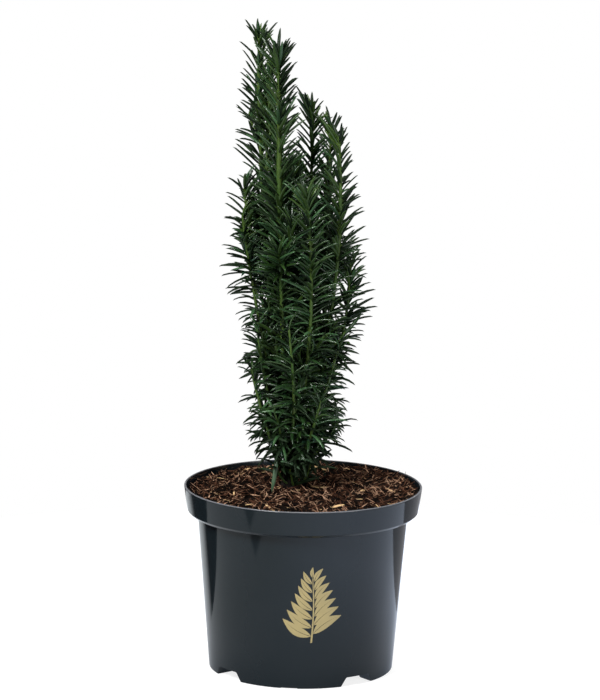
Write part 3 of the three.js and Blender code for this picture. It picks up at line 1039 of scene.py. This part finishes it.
def makeShreds(tree, name, kind, seed):
    roll = dice(seed)
    meshes = []
    for i in range(shred["shapes"]):
        length = roll(*kind["length"])
        bend = roll(-kind["bend"], kind["bend"])
        width = roll(*kind["width"])
        meshes.append(shredMesh(f"{name}Shred{i}", length, width, kind["thickness"], bend, roll))
    shapes = collectionOf(name + "Shreds", meshes)
    piece = grow(
        f"bark_shreds_{name}",
        tree,
        ground=barkPiece,
        shreds=shapes,
        kinds=len(meshes),
        density=float(kind["density"]),
        lift=kind["lift"] * mm,
        tilt=kind["tilt"],
        material=makeMaterial(name + "Shred", kind["colours"], **shred["look"]),
        seed=seed,
    )
    discardCollection(shapes)
    finishPiece(piece)


shredTree = makeShredTree()
for number, (kindName, kindValues) in enumerate(shredKinds.items()):
    makeShreds(shredTree, kindName, kindValues, shred["firstSeed"] + number)
print("potting bark made")

trunk = {
    "foot": (-12, -3, 146),
    "top": (-8, 0, 194),
    "radii": (5.4, 4.2),
    "flare": 2.6,
    "flareHeight": 5,
    "lobes": 3,
    "lobing": 0.3,
    "closesFrom": 0.94,  # of its height
    "sides": 72,
    "rings": 90,
    # how often round it and along it, where in the pattern, and how deep
    "plates": (0.5, 0.09, (3, 1, 4), 0.35),
    "flakes": (1.3, 0.3, (0, 0, 0), 0.22),
    "furrow": (0.09, 0.5),  # how near to the edge of a plate, and how deep
    "sharpAbove": 60,
}
# near-black: the bark's own dark colour, darkened further as painted shade, where the trunk stands under the
# crown
trunkLook = {
    "colours": ((0.0025, 0.0016, 0.0012), (0.008, 0.005, 0.0035)),
    "scales": (220, 1800),
    "stretch": 0.35,
    "roughness": (0.7, 0.95),
    "bump": (0.7, 0.3),
    "settled": 0.03,
    "specular": 0.15,
}


def barkNoise(place, layer):
    often, along, start = trunk[layer][:3]
    return noise.noise(Vector((place.x * often, place.y * often, place.z * along)) + Vector(start))


def makeTrunk():
    # flaking bark: long plates with furrows between them, deeper at the flare
    low, high = Vector(trunk["foot"]), Vector(trunk["top"])
    near, deep = trunk["furrow"]
    points = []
    for ring in range(trunk["rings"] + 1):
        t = ring / trunk["rings"]
        up = t * (high - low).length
        closing = max(0, (t - trunk["closesFrom"]) / (1 - trunk["closesFrom"]))
        for angle in ringAngles(trunk["sides"]):
            out = Vector((math.cos(angle), math.sin(angle), 0))
            lobe = 1 + trunk["lobing"] * math.cos(trunk["lobes"] * angle)
            radius = lerp(*trunk["radii"], t) + trunk["flare"] * lobe * math.exp(-up / trunk["flareHeight"])
            around = Vector((out.x * 5, out.y * 5, up))
            plates = barkNoise(around, "plates")
            radius += trunk["plates"][3] * plates + trunk["flakes"][3] * barkNoise(around, "flakes")
            radius -= deep * math.exp(-((plates / near) ** 2))
            radius *= max(0.02, math.sqrt(max(0, 1 - closing**2)))
            points.append(low.lerp(high, t) + out * radius)
    rings, sides = trunk["rings"] + 1, trunk["sides"]
    faces = [list(range(sides))[::-1], list(range((rings - 1) * sides, rings * sides)), *bands(rings, sides)]
    piece = outwards(meshObject("trunk_bark", points, faces))
    shadeSmooth(piece, trunk["sharpAbove"])
    finishPiece(piece, ["trunk"], makeMaterial("flakingBark", **trunkLook))


makeTrunk()

limb = {
    "hipReach": 7,
    "hipRise": 6,
    "radius": 2.3,
    "lowest": 0.62,
    "tallest": 320,
    "tipRadius": 0.9,
    "taper": 0.8,
    "step": 3,
    "tubeStep": 1.5,
    # how many sides, and how deep the relief
    "boughTube": (14, 0.5),
    "stemTube": (10, 0.35),
}
boughLook = {
    "colours": ((0.022, 0.02, 0.009), (0.035, 0.022, 0.012)),
    "scales": (160, 1700),
    "stretch": 0.3,
    "roughness": (0.55, 0.8),
    "bump": (0.5, 0.2),
    "specular": 0.4,
}
greenSkin = ((0.022, 0.058, 0.007), (0.055, 0.092, 0.011))
stemLook = {
    "colours": greenSkin,
    "scales": (120, 1500),
    "stretch": 0.25,
    "roughness": (0.4, 0.6),
    "bump": (0.4, 0.15),
    "specular": 0.45,
}

# name, tip, height where it leaves the trunk, how early it spreads, sideways bow, where needles begin
shoots = [
    ("left_back_leader", (-40, 10, 507), 186, 1.8, (0, 2), 226),
    ("left_front_leader", (-24.5, -15, 496), 191, 2.6, (2, 0), 232),
    ("middle_leader", (3, 15, 450), 189, 1.5, (1, 0), 232),
    ("right_back_leader", (17.5, 16, 436), 180, 1.5, (2, 2), 226),
    ("right_leader", (24, -6, 430), 185, 1.4, (8, -3), 222),
    ("front_leader", (-0.5, -27, 386), 188, 2, (6, 0), 220),
    ("left_outer_shoot", (-51, 2, 366), 176, 1.3, (2, 0), 212),
    ("right_outer_shoot", (35, 2, 331), 172, 1.8, (1, 0), 204),
    ("front_low_shoot", (-13, -30, 280), 167, 1.5, (4, -4), 188),
    ("left_low_shoot", (-38, -15, 278), 166, 1.2, (0, 0), 190),
    ("right_low_shoot", (27, -12, 266), 163, 1.1, (0, -2), 184),
    ("front_left_shoot", (-42, -20, 246), 160, 1.2, (0, -1), 172),
    ("front_right_shoot", (13, -33, 224), 158, 1.2, (0, 0), 169),
    ("right_base_shoot", (27, -6, 202), 157, 1.1, (0, 0), 164),
    ("left_base_shoot", (-34, -8, 210), 156, 1.1, (0, 0), 164),
    ("back_leader", (-14, 29, 398), 183, 1.6, (0, 4), 226),
    ("back_right_shoot", (20, 34, 345), 177, 1.5, (0, 2), 214),
    ("back_left_shoot", (-37, 33, 325), 170, 1.5, (0, 2), 206),
    ("back_middle_shoot", (-4, 46, 296), 168, 1.4, (0, 2), 198),
    ("back_low_shoot", (12, 36, 222), 159, 1.2, (0, 0), 172),
]
# how much further the needles of a shoot open, in degrees
looseShoots = {"left_outer_shoot": 30, "left_back_leader": 2, "left_low_shoot": 10}
# height, how far above and below it, and how much stouter
stoutStems = {
    "left_front_leader": (398, 26, 0.9),
    "left_back_leader": (460, 30, 0.3),
    "right_leader": (380, 40, 0.35),
}
# from and to how far below its tip a shoot has twice as many needles, and which leaders have them at the top
crowding = {"above": 380, "leaders": (14, 0), "shoots": {"right_outer_shoot": (84, 16)}}
twigRule = {
    "radii": (1, 0.6),
    "spread": (0.8, 1.15),
    "elbow": (0.3, 0.42),
    "clothedFrom": 0.3,
    "axis": (-8, 0),
    "side": {"spacing": 52, "length": 30, "lean": 0.66, "clear": 70},
    "finer": {"spacing": 22, "length": 36, "lean": 0.42, "clear": 40},
    # where the finer ones may leave a stem: below this height, this near to the axis, and facing in
    "finerWithin": (365, 24, 0.15),
}
# root, elbow and end, and its tint
extraTwigs = [
    ((-43, 8, 348), (-49, 6, 362), (-50, 4, 391), 1),
    ((-36, 12, 312), (-37, 16, 330), (-38, 16, 362), 0),
    ((2, 12, 318), (7, 14, 332), (9, 14, 366), 2),
    ((-38, 14, 296), (-43, 18, 312), (-44, 20, 346), 3),
    # between the leaders
    ((-33, 0, 400), (-31, 2, 415), (-33, 4, 452), 3),
    ((-30, -2, 430), (-32, 2, 448), (-31, 4, 478), 1),
    # round the foot
    ((-10, -6, 150), (-19, -12, 152), (-22, -14, 172), 0),
    ((-8, -8, 150), (-9, -16, 153), (-11, -19, 170), 2),
    ((-5, -6, 150), (3, -12, 152), (6, -14, 172), 0),
]
extraLoose = 15
tints = {
    "deep": ((0.006, 0.018, 0.005), (0.012, 0.032, 0.009)),
    "mid": ((0.009, 0.026, 0.007), (0.017, 0.045, 0.012)),
    "cool": ((0.008, 0.024, 0.013), (0.015, 0.044, 0.025)),
    "fresh": ((0.011, 0.03, 0.006), (0.02, 0.048, 0.01)),
}
limbs = []  # the line of each bough, up to where its needles begin
sprays = []  # the line and the tint of each stem and twig that carries needles
crowns = []  # the same for what has a second set of them


def trunkAt(height):
    share = (height - trunk["foot"][2]) / (trunk["top"][2] - trunk["foot"][2])
    return Vector(trunk["foot"]).lerp(Vector(trunk["top"]), share)


def shootPath(tip, foot, spread, bow):
    # out over the hip, then up to the tip
    start = trunkAt(foot)
    away = Vector((tip[0] - start.x, tip[1] - start.y, 0))
    rest = away.length - limb["hipReach"]
    outward = away.normalized()

    def at(t):
        rise = (tip[2] - start.z) * t
        out = limb["hipReach"] * (1 - math.exp(-rise / limb["hipRise"])) + rest * (1 - (1 - t) ** spread)
        swing = math.sin(math.pi * t)
        return start + outward * out + Vector((bow[0] * swing, bow[1] * swing, rise))

    return at, outward


def shootRadius(tip, foot):
    footRadius = limb["radius"] * lerp(limb["lowest"], 1, (tip[2] - foot) / limb["tallest"])
    return lambda t: lerp(footRadius, limb["tipRadius"], t ** limb["taper"])


def twigRadius(t):
    return lerp(*twigRule["radii"], t)


def stouter(name, height):
    middle, spread, more = stoutStems.get(name, (0, 1, 0))
    return 1 + more * math.exp(-(((height - middle) / spread) ** 2))


def lineOn(path, low, high, radius, loose=0, name=None):
    # a path between two shares, with a point about each step
    count = max(3, round((path(high) - path(low)).length / limb["step"]))
    shares = [lerp(low, high, i / count) for i in range(count + 1)]
    points = [path(t) for t in shares]
    return points, [radius(t) * stouter(name, at.z) for t, at in zip(shares, points)], loose


def heading(path, t, step=0.01):
    return (path(min(t + step, 1)) - path(max(t - step, 0))).normalized()


def twigsOn(path, low, rule, roll, outward=None):
    # side twigs, set in a spiral, that leave the stem and turn up beside it.
    # Where outward is given they only fill the inside of the crown, and not its top
    def part(t):
        return path(lerp(low, 1, t))

    length = (path(1) - path(low)).length
    top, core, facing = twigRule["finerWithin"]
    turn = roll(0, 2 * math.pi)
    made = []
    for i in range(max(0, math.floor((length - rule["clear"]) / rule["spacing"]))):
        t = (i + 0.7) * rule["spacing"] / length
        along = heading(part, t)
        side = (Vector((1, 0, 0)) - along * along.x).normalized()
        radial = Matrix.Rotation(turn + i * goldenAngle, 3, along) @ side
        root = part(t)
        far = rule["length"] * roll(*twigRule["spread"])
        aside = math.hypot(root.x - twigRule["axis"][0], root.y - twigRule["axis"][1])
        if outward and (radial.dot(outward) > facing or aside > core or root.z > top):
            continue
        elbow = root + along * far * twigRule["elbow"][0] + radial * far * twigRule["elbow"][1]
        end = root + along * far * math.cos(rule["lean"]) + radial * far * math.sin(rule["lean"])
        made.append((root, elbow, end))
    return made


def addTwig(ends, tint, loose):
    root, elbow, end = (Vector(place) for place in ends)
    line = lineOn(lambda t: bent(root, elbow, end, t), 0, 1, twigRadius, loose)
    sprays.append((line, tint % len(tints)))


def growShoots():
    for number, (name, tip, foot, spread, bow, bareTo) in enumerate(shoots):
        roll = dice(number + 1)
        path, outward = shootPath(tip, foot, spread, bow)
        radius = shootRadius(tip, foot)
        share = (bareTo - foot) / (tip[2] - foot)
        clothed = share * twigRule["clothedFrom"]
        tint = number % len(tints)
        loose = math.radians(looseShoots.get(name, 0))
        limbs.append(lineOn(path, 0, share, radius))
        sprays.append((lineOn(path, clothed, 1, radius, loose, name), tint))
        leader = crowding["leaders"] if tip[2] > crowding["above"] else ()
        reach = crowding["shoots"].get(name, leader)
        if reach:
            low, high = (1 - below / (path(1) - path(0)).length for below in reach)
            crowns.append((lineOn(path, low, high, radius, loose), tint))
        twigs = twigsOn(path, share, twigRule["side"], roll)
        twigs += twigsOn(path, clothed, twigRule["finer"], roll, outward)
        for i, ends in enumerate(twigs):
            addTwig(ends, tint + i + 1, loose)
    for *ends, tint in extraTwigs:
        addTwig(ends, tint, math.radians(extraLoose))


growShoots()


def makeLimbTree():
    tree, given, result = geometryTree(
        "limbsAlongPaths",
        {
            "paths": "Object",
            "step": 0.002,
            "sides": 10,
            "relief": 0.15,
            "reliefScale": 700.0,
            "stretch": 0.3,
            "bark": "Material",
        },
    )
    values = {"Curve": shapeOf(given.paths), "Length": given.step}
    even = outputOf("GeometryNodeResampleCurve", values, mode="LENGTH")
    # the radius is also kept by another name, as the tube drops its own
    radius = named(tree, "radius")
    ring = outputOf("GeometryNodeCurvePrimitiveCircle", {"Resolution": given.sides, "Radius": 1.0})
    values = {"Profile Curve": ring, "Scale": radius, "Fill Caps": True}
    values["Curve"] = stored(even, thick=radius)
    tube = outputOf("GeometryNodeCurveToMesh", values)
    pattern = timesVector(placeIn(tree), joined(1.0, 1.0, given.stretch))
    rough = minus(noiseIn(pattern, given.reliefScale, 3.0), 0.5)
    push = scaled(normalIn(tree), times(rough, times(given.relief, named(tree, "thick"))))
    smooth = outputOf("GeometryNodeSetShadeSmooth", {"Geometry": moved(tube, "Offset", push)})
    put(result, dressed(realized(smooth), given.bark))
    return tree


def makeTubes(name, tree, lines, tube, bark, nodes=()):
    sides, relief = tube
    paths = curveObject(name + "_paths", lines)
    piece = grow(name, tree, paths=paths, sides=sides, step=limb["tubeStep"] * mm, relief=relief, bark=bark)
    discard(paths)
    finishPiece(piece, nodes)


def makeLimbs():
    tree = makeLimbTree()
    bark = makeMaterial("youngBark", **boughLook)
    makeTubes("bough_bark", tree, limbs, limb["boughTube"], bark, nodesNamed("bough_"))
    stems = [(points, radii, 0) for (points, radii, _), _ in sprays]
    makeTubes("green_stems", tree, stems, limb["stemTube"], makeMaterial("greenStem", **stemLook))


makeLimbs()
print("limbs made:", len(limbs), "boughs,", len(sprays), "stems and twigs")

# how far the crown reaches, in heights with the furthest left and right there
crown = [
    (148, -30, 25),
    (165, -38, 37),
    (182, -44, 42),
    (195, -48, 43),
    (205, -54, 43),
    (215, -53, 42),
    (222, -50, 42),
    (232, -52, 44),
    (239, -58, 44),
    (247, -57, 44),
    (253, -49, 43),
    (269, -50, 44),
    (284, -56, 50),
    (297, -60, 58),
    (312, -68, 58),
    (330, -70, 55),
    (360, -66, 47),
    (385, -65, 44),
    (405, -62, 38),
    (425, -58, 33),
    (445, -58, 29),
    (455, -57, 18),
    (468, -58, -8),
    (505, -57, -10),
    (522, -52, -27),
]
crownBox = {"low": 140, "high": 530, "wide": 80}

needle = {
    "length": 28,
    "width": 3.1,
    "thick": 1.35,
    # bend and sway of each shape, from the crown's top to its foot
    "shapes": [
        (0.012, 0.012),
        (0.03, -0.015),
        (0.055, 0.015),
        (0.075, -0.02),
        (0.095, 0.02),
        (0.115, -0.025),
    ],
    "tipDip": 0.02,
    # share of the length, and of the full width
    "outline": [(0, 0.42), (0.05, 0.38), (0.14, 0.86), (0.42, 1), (0.72, 0.86), (0.92, 0.42)],
    # across and up, round the edge from the left
    "section": [(-1, 0), (-0.6, 1), (0.6, 1), (1, 0), (0.6, -1), (-0.6, -1)],
}
needleSizes = {
    # in millimetres
    "length": 28,
    "spacing": 0.84,
    "within": 16,
    "droopBelow": 440,
    "droopFull": 180,
    "droopWithin": 30,
    "youngWithin": 80,
    "axis": (-8, 0, 0),
    "behind": (0, 22, 0),  # what needles face away from, off the axis
    "ground": 148,
    "bank": 16,  # how much higher the ground counts beside the foot
    "ceiling": 519.4,
    "rimLeft": -30,  # high up only the rim left of this is open
    "rimDepth": -30,
    "rimDepthHigh": -18,
    "rimEdge": -6,
    "slit": (28, 0, 288),  # few needles cross the gap beside the outermost shoot on the right
    "slitHalf": (6, 60, 28),
    "shown": (-22, -16, 402),  # where the stem of the foremost leader shows most
    "shownWithin": 24,
    "freshWithin": 24,
    "freshAbove": 340,
    "leading": 60,
    "outerWithin": 7,
    "footBelow": 185,
    "footWithin": 20,
}
needleAngles = {
    # in degrees
    "atTip": 33,
    "along": 42,
    "droop": 60,
}
needleShares = {
    "droopCurve": 1.5,
    "smallest": 0.72,
    "largest": 1.13,
    "youngShare": 0.62,
    "youngStem": 0.4,
    "slimming": 0.4,
    "turn": 0.6,
    "roll": 0.5,
    "jitter": 0.17,
    "flatten": 0.12,  # towards two ranks, by the axis
    "flattenOutside": 0.33,
    "bareFrom": 0.3,
    "bareFull": 0.95,
    "bareLow": 0.18,
    "bareHigh": 0.3,
    "openLow": 0.6,
    "openFoot": 0.9,
    "openTop": 0.54,  # on the right
    "openRimLow": 0.74,
    "openRimMid": 0.62,
    "openRimHigh": 0.78,
    "openSlit": 0.76,
    "leastFit": 0.7,
    # shares of needles, low and high up, given the darkest colour at random as painted shade inside the
    # crown
    "darkLow": 0.19,
    "darkHigh": 0.14,
    # above this share of a random lot, a needle gets the painted highlight colour
    "brightFrom": 0.82,
}
# between which heights, or how far from the axis, a change comes about, in millimetres
needleZones = {
    "flattenAside": (12, 34),
    "bankAside": (22, 36),
    "openAside": (10, 30),
    "openHeight": (270, 340),
    "footHeight": (150, 220),
    "footAside": (10, 20),
    "topHeight": (380, 410),
    "topRightward": (-4, 18),
    "rimMiddle": (250, 300),
    "rimTop": (340, 400),
    "rimDeeper": (300, 400),
    "bareHeight": (280, 400),
    "bendHeight": (470, 190),
    "darkHeight": (360, 420),
}
# name, colours, roughness and specular, in the order in which they are laid over each other
needleLooks = {
    "fresh": ("tipNeedle", ((0.021, 0.05, 0.005), (0.042, 0.08, 0.009)), (0.3, 0.42), 0.38),
    "under": ("needleUnder", ((0.02, 0.05, 0.006), (0.038, 0.076, 0.011)), (0.45, 0.6), 0.2),
    # the lower bevels, paler: partly the needle's own paler underside, partly a painted highlight along its
    # edges
    "edge": ("needleEdge", ((0.025, 0.05, 0.016), (0.05, 0.085, 0.032)), (0.4, 0.55), 0.3),
    # a random few needles are paler and cooler: painted highlights
    "bright": ("brightNeedle", ((0.022, 0.06, 0.021), (0.042, 0.097, 0.037)), (0.25, 0.35), 0.38),
    # the darkest needles: painted shade, in silhouette, beside the trunk and inside the crown
    "outer": ("outerNeedle", ((0.004, 0.01, 0.003), (0.008, 0.02, 0.006)), (0.5, 0.6), 0.15),
    "foot": ("needleFoot", greenSkin, (0.4, 0.6), 0.38),
}
upperRoughness = (0.22, 0.34)


def needleMesh(name, bend, sway):
    # a strap along +Z with its upper face to +Y and thin rounded edges
    length = needle["length"]
    points = []
    for share, wide in needle["outline"]:
        half = needle["width"] / 2 * wide
        deep = needle["thick"] / 2 * (0.5 + 0.5 * wide)
        x = sway * length * math.sin(math.pi * share)
        y = bend * length * (1 - (2 * share - 1) ** 2)
        points += [(x + across * half, y + up * deep, share * length) for across, up in needle["section"]]
    points.append((0, -needle["tipDip"] * length, length))
    rings = len(needle["outline"])
    around = len(needle["section"])
    faces = [tuple(range(around)), *bands(rings, around, flipped=True)]
    last = around * (rings - 1)
    faces += [(last + j, around * rings, last + (j + 1) % around) for j in range(around)]
    mesh = meshFrom(name, points, faces)
    mesh.shade_smooth()
    marks = ("underside", "paleEdge", "nearStem")
    under, edge, base = (mesh.attributes.new(mark, "BOOLEAN", "FACE").data for mark in marks)
    for i, polygon in enumerate(mesh.polygons):
        sides = {v % around for v in polygon.vertices if v < around * rings}
        under[i].value = i > 0 and sides <= {4, 5}
        # the lower bevels are marked pale: partly the needle's own paler underside, partly a painted
        # highlight along its edges
        edge[i].value = i > 0 and (sides <= {3, 4} or sides <= {5, 0})
        base[i].value = i <= around * 2
    return mesh


def limitCurve(height, side):
    # the crown's reach at one side as a curve over height
    low, high, wide = metres([crownBox["low"], crownBox["high"], crownBox["wide"]])
    curve = addNode(height.id_data, "ShaderNodeFloatCurve", {"Value": mapped(height, low, high)})
    line = curve.mapping.curves[0]
    places = [((row[0] * mm - low) / (high - low), (row[side] * mm / wide + 1) / 2) for row in crown]
    line.points[0].location = (0, places[0][1])
    line.points[1].location = (1, places[-1][1])
    for place in places:
        line.points.new(*place)
    for point in line.points:
        point.handle_type = "VECTOR"
    curve.mapping.update()
    return mapped(curve.outputs[0], toLow=-wide, toHigh=wide)


def needleInputs():
    values = {name: metres(v) if isinstance(v, tuple) else v * mm for name, v in needleSizes.items()}
    values.update({name: math.radians(v) for name, v in needleAngles.items()})
    return {**values, **needleShares}


def between(value, zone, toLow=0.0, toHigh=1.0):
    return mapped(value, *metres(needleZones[zone]), toLow, toHigh)


def makeNeedleTree():
    inputs = {"sprays": "Object", "needles": "Collection", "kinds": 6, **needleInputs()}
    inputs.update({look: "Material" for look in ("upper", *needleLooks)})
    tree, given, result = geometryTree("needlesOnSprays", inputs)
    full = sourceOf(tree, "GeometryNodeSplineLength", "Length")
    covered = sourceOf(tree, "GeometryNodeSplineParameter", "Length")
    lines = shapeOf(given.sprays)
    stems = stored(lines, fromTip=minus(full, covered), stemLength=full, loose=named(tree, "tilt"))
    values = {"Curve": stems, "Length": given.spacing}
    rooted = addNode(tree, "GeometryNodeCurveToPoints", values, mode="LENGTH").outputs
    along = rooted["Tangent"]
    fromTip, stemLength = named(tree, "fromTip"), named(tree, "stemLength")
    here = placeIn(tree)
    rootX, _, height = partsOf(here)
    flat = timesVector(minusVector(here, given.axis), (1, 1, 0))
    aside = lengthOf(flat)
    # round the stem in a spiral, drawn towards two ranks
    index = sourceOf(tree, "GeometryNodeInputIndex")
    angle = plus(times(index, goldenAngle), eitherWay(given.turn, 1))
    flatten = between(aside, "flattenAside", given.flatten, given.flattenOutside)
    angle = minus(angle, times(sine(times(angle, 2.0)), flatten))
    radial = turnedAbout(unit(crossed(along, (0, 1, 0))), along, angle)
    # out from the stem: nearly shut at a tip, level or drooping low down
    closing = exponent(ratio(fromTip, times(given.within, -1.0)))
    opening = timesPlus(closing, minus(given.atTip, given.along), given.along)
    low = power(mapped(height, given.droopFull, given.droopBelow, 1.0, 0.0), given.droopCurve)
    grown = minus(1.0, exponent(ratio(fromTip, times(given.droopWithin, -1.0))))
    droop = times(plus(times(low, given.droop), named(tree, "loose")), grown)
    opened = plus(plus(opening, droop), eitherWay(given.jitter, 2))
    direction = turnedAbout(along, crossed(along, radial), opened)
    facing = turnedAbout(along, direction, eitherWay(given.roll, 3))
    values = {"Primary Axis": direction, "Secondary Axis": facing}
    lie = outputOf("FunctionNodeAxesToRotation", values, primary_axis="Z", secondary_axis="Y")
    # shorter near a tip
    young = least(times(stemLength, given.youngStem), given.youngWithin)
    size = mapped(fromTip, 0.0, young, given.youngShare)
    size = times(size, randomIn(tree, given.smallest, given.largest, 4))
    tip = plusVector(here, scaled(direction, times(size, given.length)))
    tipX, _, tipZ = partsOf(tip)
    tipAside = lengthOf(timesVector(minusVector(tip, given.axis), (1, 1, 0)))
    buried = below(tipZ, plus(given.ground, between(tipAside, "bankAside", 0.0, given.bank)))
    # what would leave the crown is shorter, or missing
    outside = most(minus(limitCurve(tipZ, 1), tipX), minus(tipX, limitCurve(tipZ, 2)))
    fit = minus(1.0, ratio(most(outside, 0.0), magnitude(minus(tipX, rootX))))
    headroom = ratio(minus(given.ceiling, height), minus(tipZ, height))
    headroom = most(headroom, below(tipZ, given.ceiling))
    size = times(times(size, least(headroom, 1.0)), least(fit, 1.0))
    # the outside is open low down
    thinned = between(height, "openHeight", between(aside, "openAside", 0.0, given.openLow), 0.0)
    # and so are the foot and, on the right, the top
    foot = times(between(height, "footHeight", given.openFoot, 0.0), between(aside, "footAside"))
    top = times(between(height, "topHeight", 0.0, given.openTop), between(rootX, "topRightward"))
    # and the rim, but high up only on the left, where one leader stands behind the other
    rim = between(height, "rimMiddle", given.openRimLow, given.openRimMid)
    rim = between(height, "rimTop", rim, times(given.openRimHigh, below(rootX, given.rimLeft)))
    rimFrom = between(height, "rimDeeper", given.rimDepth, given.rimDepthHigh)
    rim = times(rim, mapped(outside, rimFrom, given.rimEdge))
    # and the gap beside the outermost shoot on the right
    middle = timesVector(plusVector(here, tip), (0.5, 0.5, 0.5))
    past = partsOf(minusVector(sizeOf(minusVector(middle, given.slit)), given.slitHalf))
    slit = times(times(below(past["X"], 0.0), below(past["Z"], 0.0)), given.openSlit)
    # few needles stand straight out from the crown, so that its stems show
    outward = unit(minusVector(flat, given.behind))
    straight = mapped(alignment(radial, outward), given.bareFrom, given.bareFull)
    bare = between(height, "bareHeight", given.bareLow, given.bareHigh)
    bare = most(bare, below(distance(here, given.shown), given.shownWithin))
    bare = times(times(straight, bare), minus(1.0, closing))
    for share in (foot, top, rim, slit, bare):
        thinned = most(thinned, share)
    dropped = most(buried, below(randomIn(tree, 0.0, 1.0, 6), thinned))
    dropped = most(dropped, below(fit, given.leastFit))
    # straight high up and more bent low down
    last = minus(given.kinds, 1.0)
    kind = rounded(plus(between(height, "bendHeight", 0.0, last), randomIn(tree, -1.0, 1.0, 5)))
    # a short needle is nearly as wide as a long one
    wide = power(size, given.slimming)
    lot = randomIn(tree, 0.0, 1.0, 7)
    placed = onPoints(
        stored(rooted["Points"], outside=outside, rootHeight=height, rootAside=aside, lot=lot),
        given.needles,
        {
            "Selection": minus(1.0, dropped),
            "Instance Index": most(least(kind, last), 0.0),
            "Rotation": lie,
            "Scale": joined(wide, wide, size),
        },
    )
    lot, rootHeight = named(tree, "lot"), named(tree, "rootHeight")
    highUp = above(rootHeight, given.freshAbove)
    atTip = times(below(fromTip, given.freshWithin), above(stemLength, given.leading))
    # painted shade: the outermost are coloured darkest, as they stand in silhouette, and so are those beside
    # the trunk, under the crown, and a random few, as shade inside the crown
    outer = above(named(tree, "outside"), times(given.outerWithin, -1.0))
    byTrunk = times(below(rootHeight, given.footBelow), below(named(tree, "rootAside"), given.footWithin))
    dark = below(lot, between(rootHeight, "darkHeight", given.darkLow, given.darkHigh))
    chosen = {
        "fresh": times(atTip, highUp),
        "under": named(tree, "underside", "BOOLEAN"),
        "edge": named(tree, "paleEdge", "BOOLEAN"),
        "bright": above(lot, given.brightFrom),
        "outer": most(most(outer, byTrunk), dark),
        "foot": times(highUp, named(tree, "nearStem", "BOOLEAN")),
    }
    needles = dressed(realized(placed), given.upper)
    for look in needleLooks:
        needles = dressed(needles, getattr(given, look), chosen[look])
    put(result, needles)
    return tree


def needleMaterial(name, colours, roughness, specular=0.38):
    return makeMaterial(name, colours, (45, 1200), roughness, (0.15, 0.05), specular)


def makeNeedles():
    tree = makeNeedleTree()
    meshes = [needleMesh(f"needle{i}", *shape) for i, shape in enumerate(needle["shapes"])]
    shapes = collectionOf("needleKinds", meshes)
    given = {"needles": shapes, "kinds": len(meshes), **needleInputs()}
    given.update({look: needleMaterial(*values) for look, values in needleLooks.items()})
    for number, (tint, colours) in enumerate(tints.items()):
        upper = needleMaterial(tint + "Needle", colours, upperRoughness)
        paths = curveObject(tint + "Sprays", [line for line, dealt in sprays + crowns if dealt == number])
        piece = grow(f"needles_{tint}", tree, sprays=paths, upper=upper, **given)
        discard(paths)
        finishPiece(piece, nodesNamed("foliage_") if number == 0 else ())
    discardCollection(shapes)


lone = {
    # a few needles hang or stand by themselves at the foot: root, tip, how wide and how much bent
    "needles": [
        ((-20.5, -15, 177), (-25, -24, 147), 1.25, 0.02),
        ((-19, -22, 172), (-2, -28, 166.5), 1.05, 0.12),
        ((-8, -22, 174), (9, -27, 172), 1.0, 0.1),
    ],
    "sway": 0.01,
    "back": (0, -0.6, 0.8),
    "look": (((0.03, 0.065, 0.03), (0.05, 0.1, 0.05)), (0.35, 0.45)),
}


def makeLoneNeedles():
    points = []
    faces = []
    for root, tip, wide, bend in lone["needles"]:
        one = needleMesh("loneNeedle", bend, lone["sway"])
        root, tip = Vector(root), Vector(tip)
        along = (tip - root).normalized()
        across = along.cross(Vector(lone["back"])).normalized()
        up = across.cross(along)
        stretch = (tip - root).length / needle["length"]
        faces += [tuple(len(points) + v for v in polygon.vertices) for polygon in one.polygons]
        for vertex in one.vertices:
            x, y, z = vertex.co / mm
            points.append(root - across * x * wide + up * y + along * z * stretch)
        bpy.data.meshes.remove(one)
    piece = meshObject("lone_needles", points, faces)
    shadeSmooth(piece)
    finishPiece(outwards(piece), material=needleMaterial("loneNeedle", *lone["look"]))


makeNeedles()
makeLoneNeedles()
print("needles made")
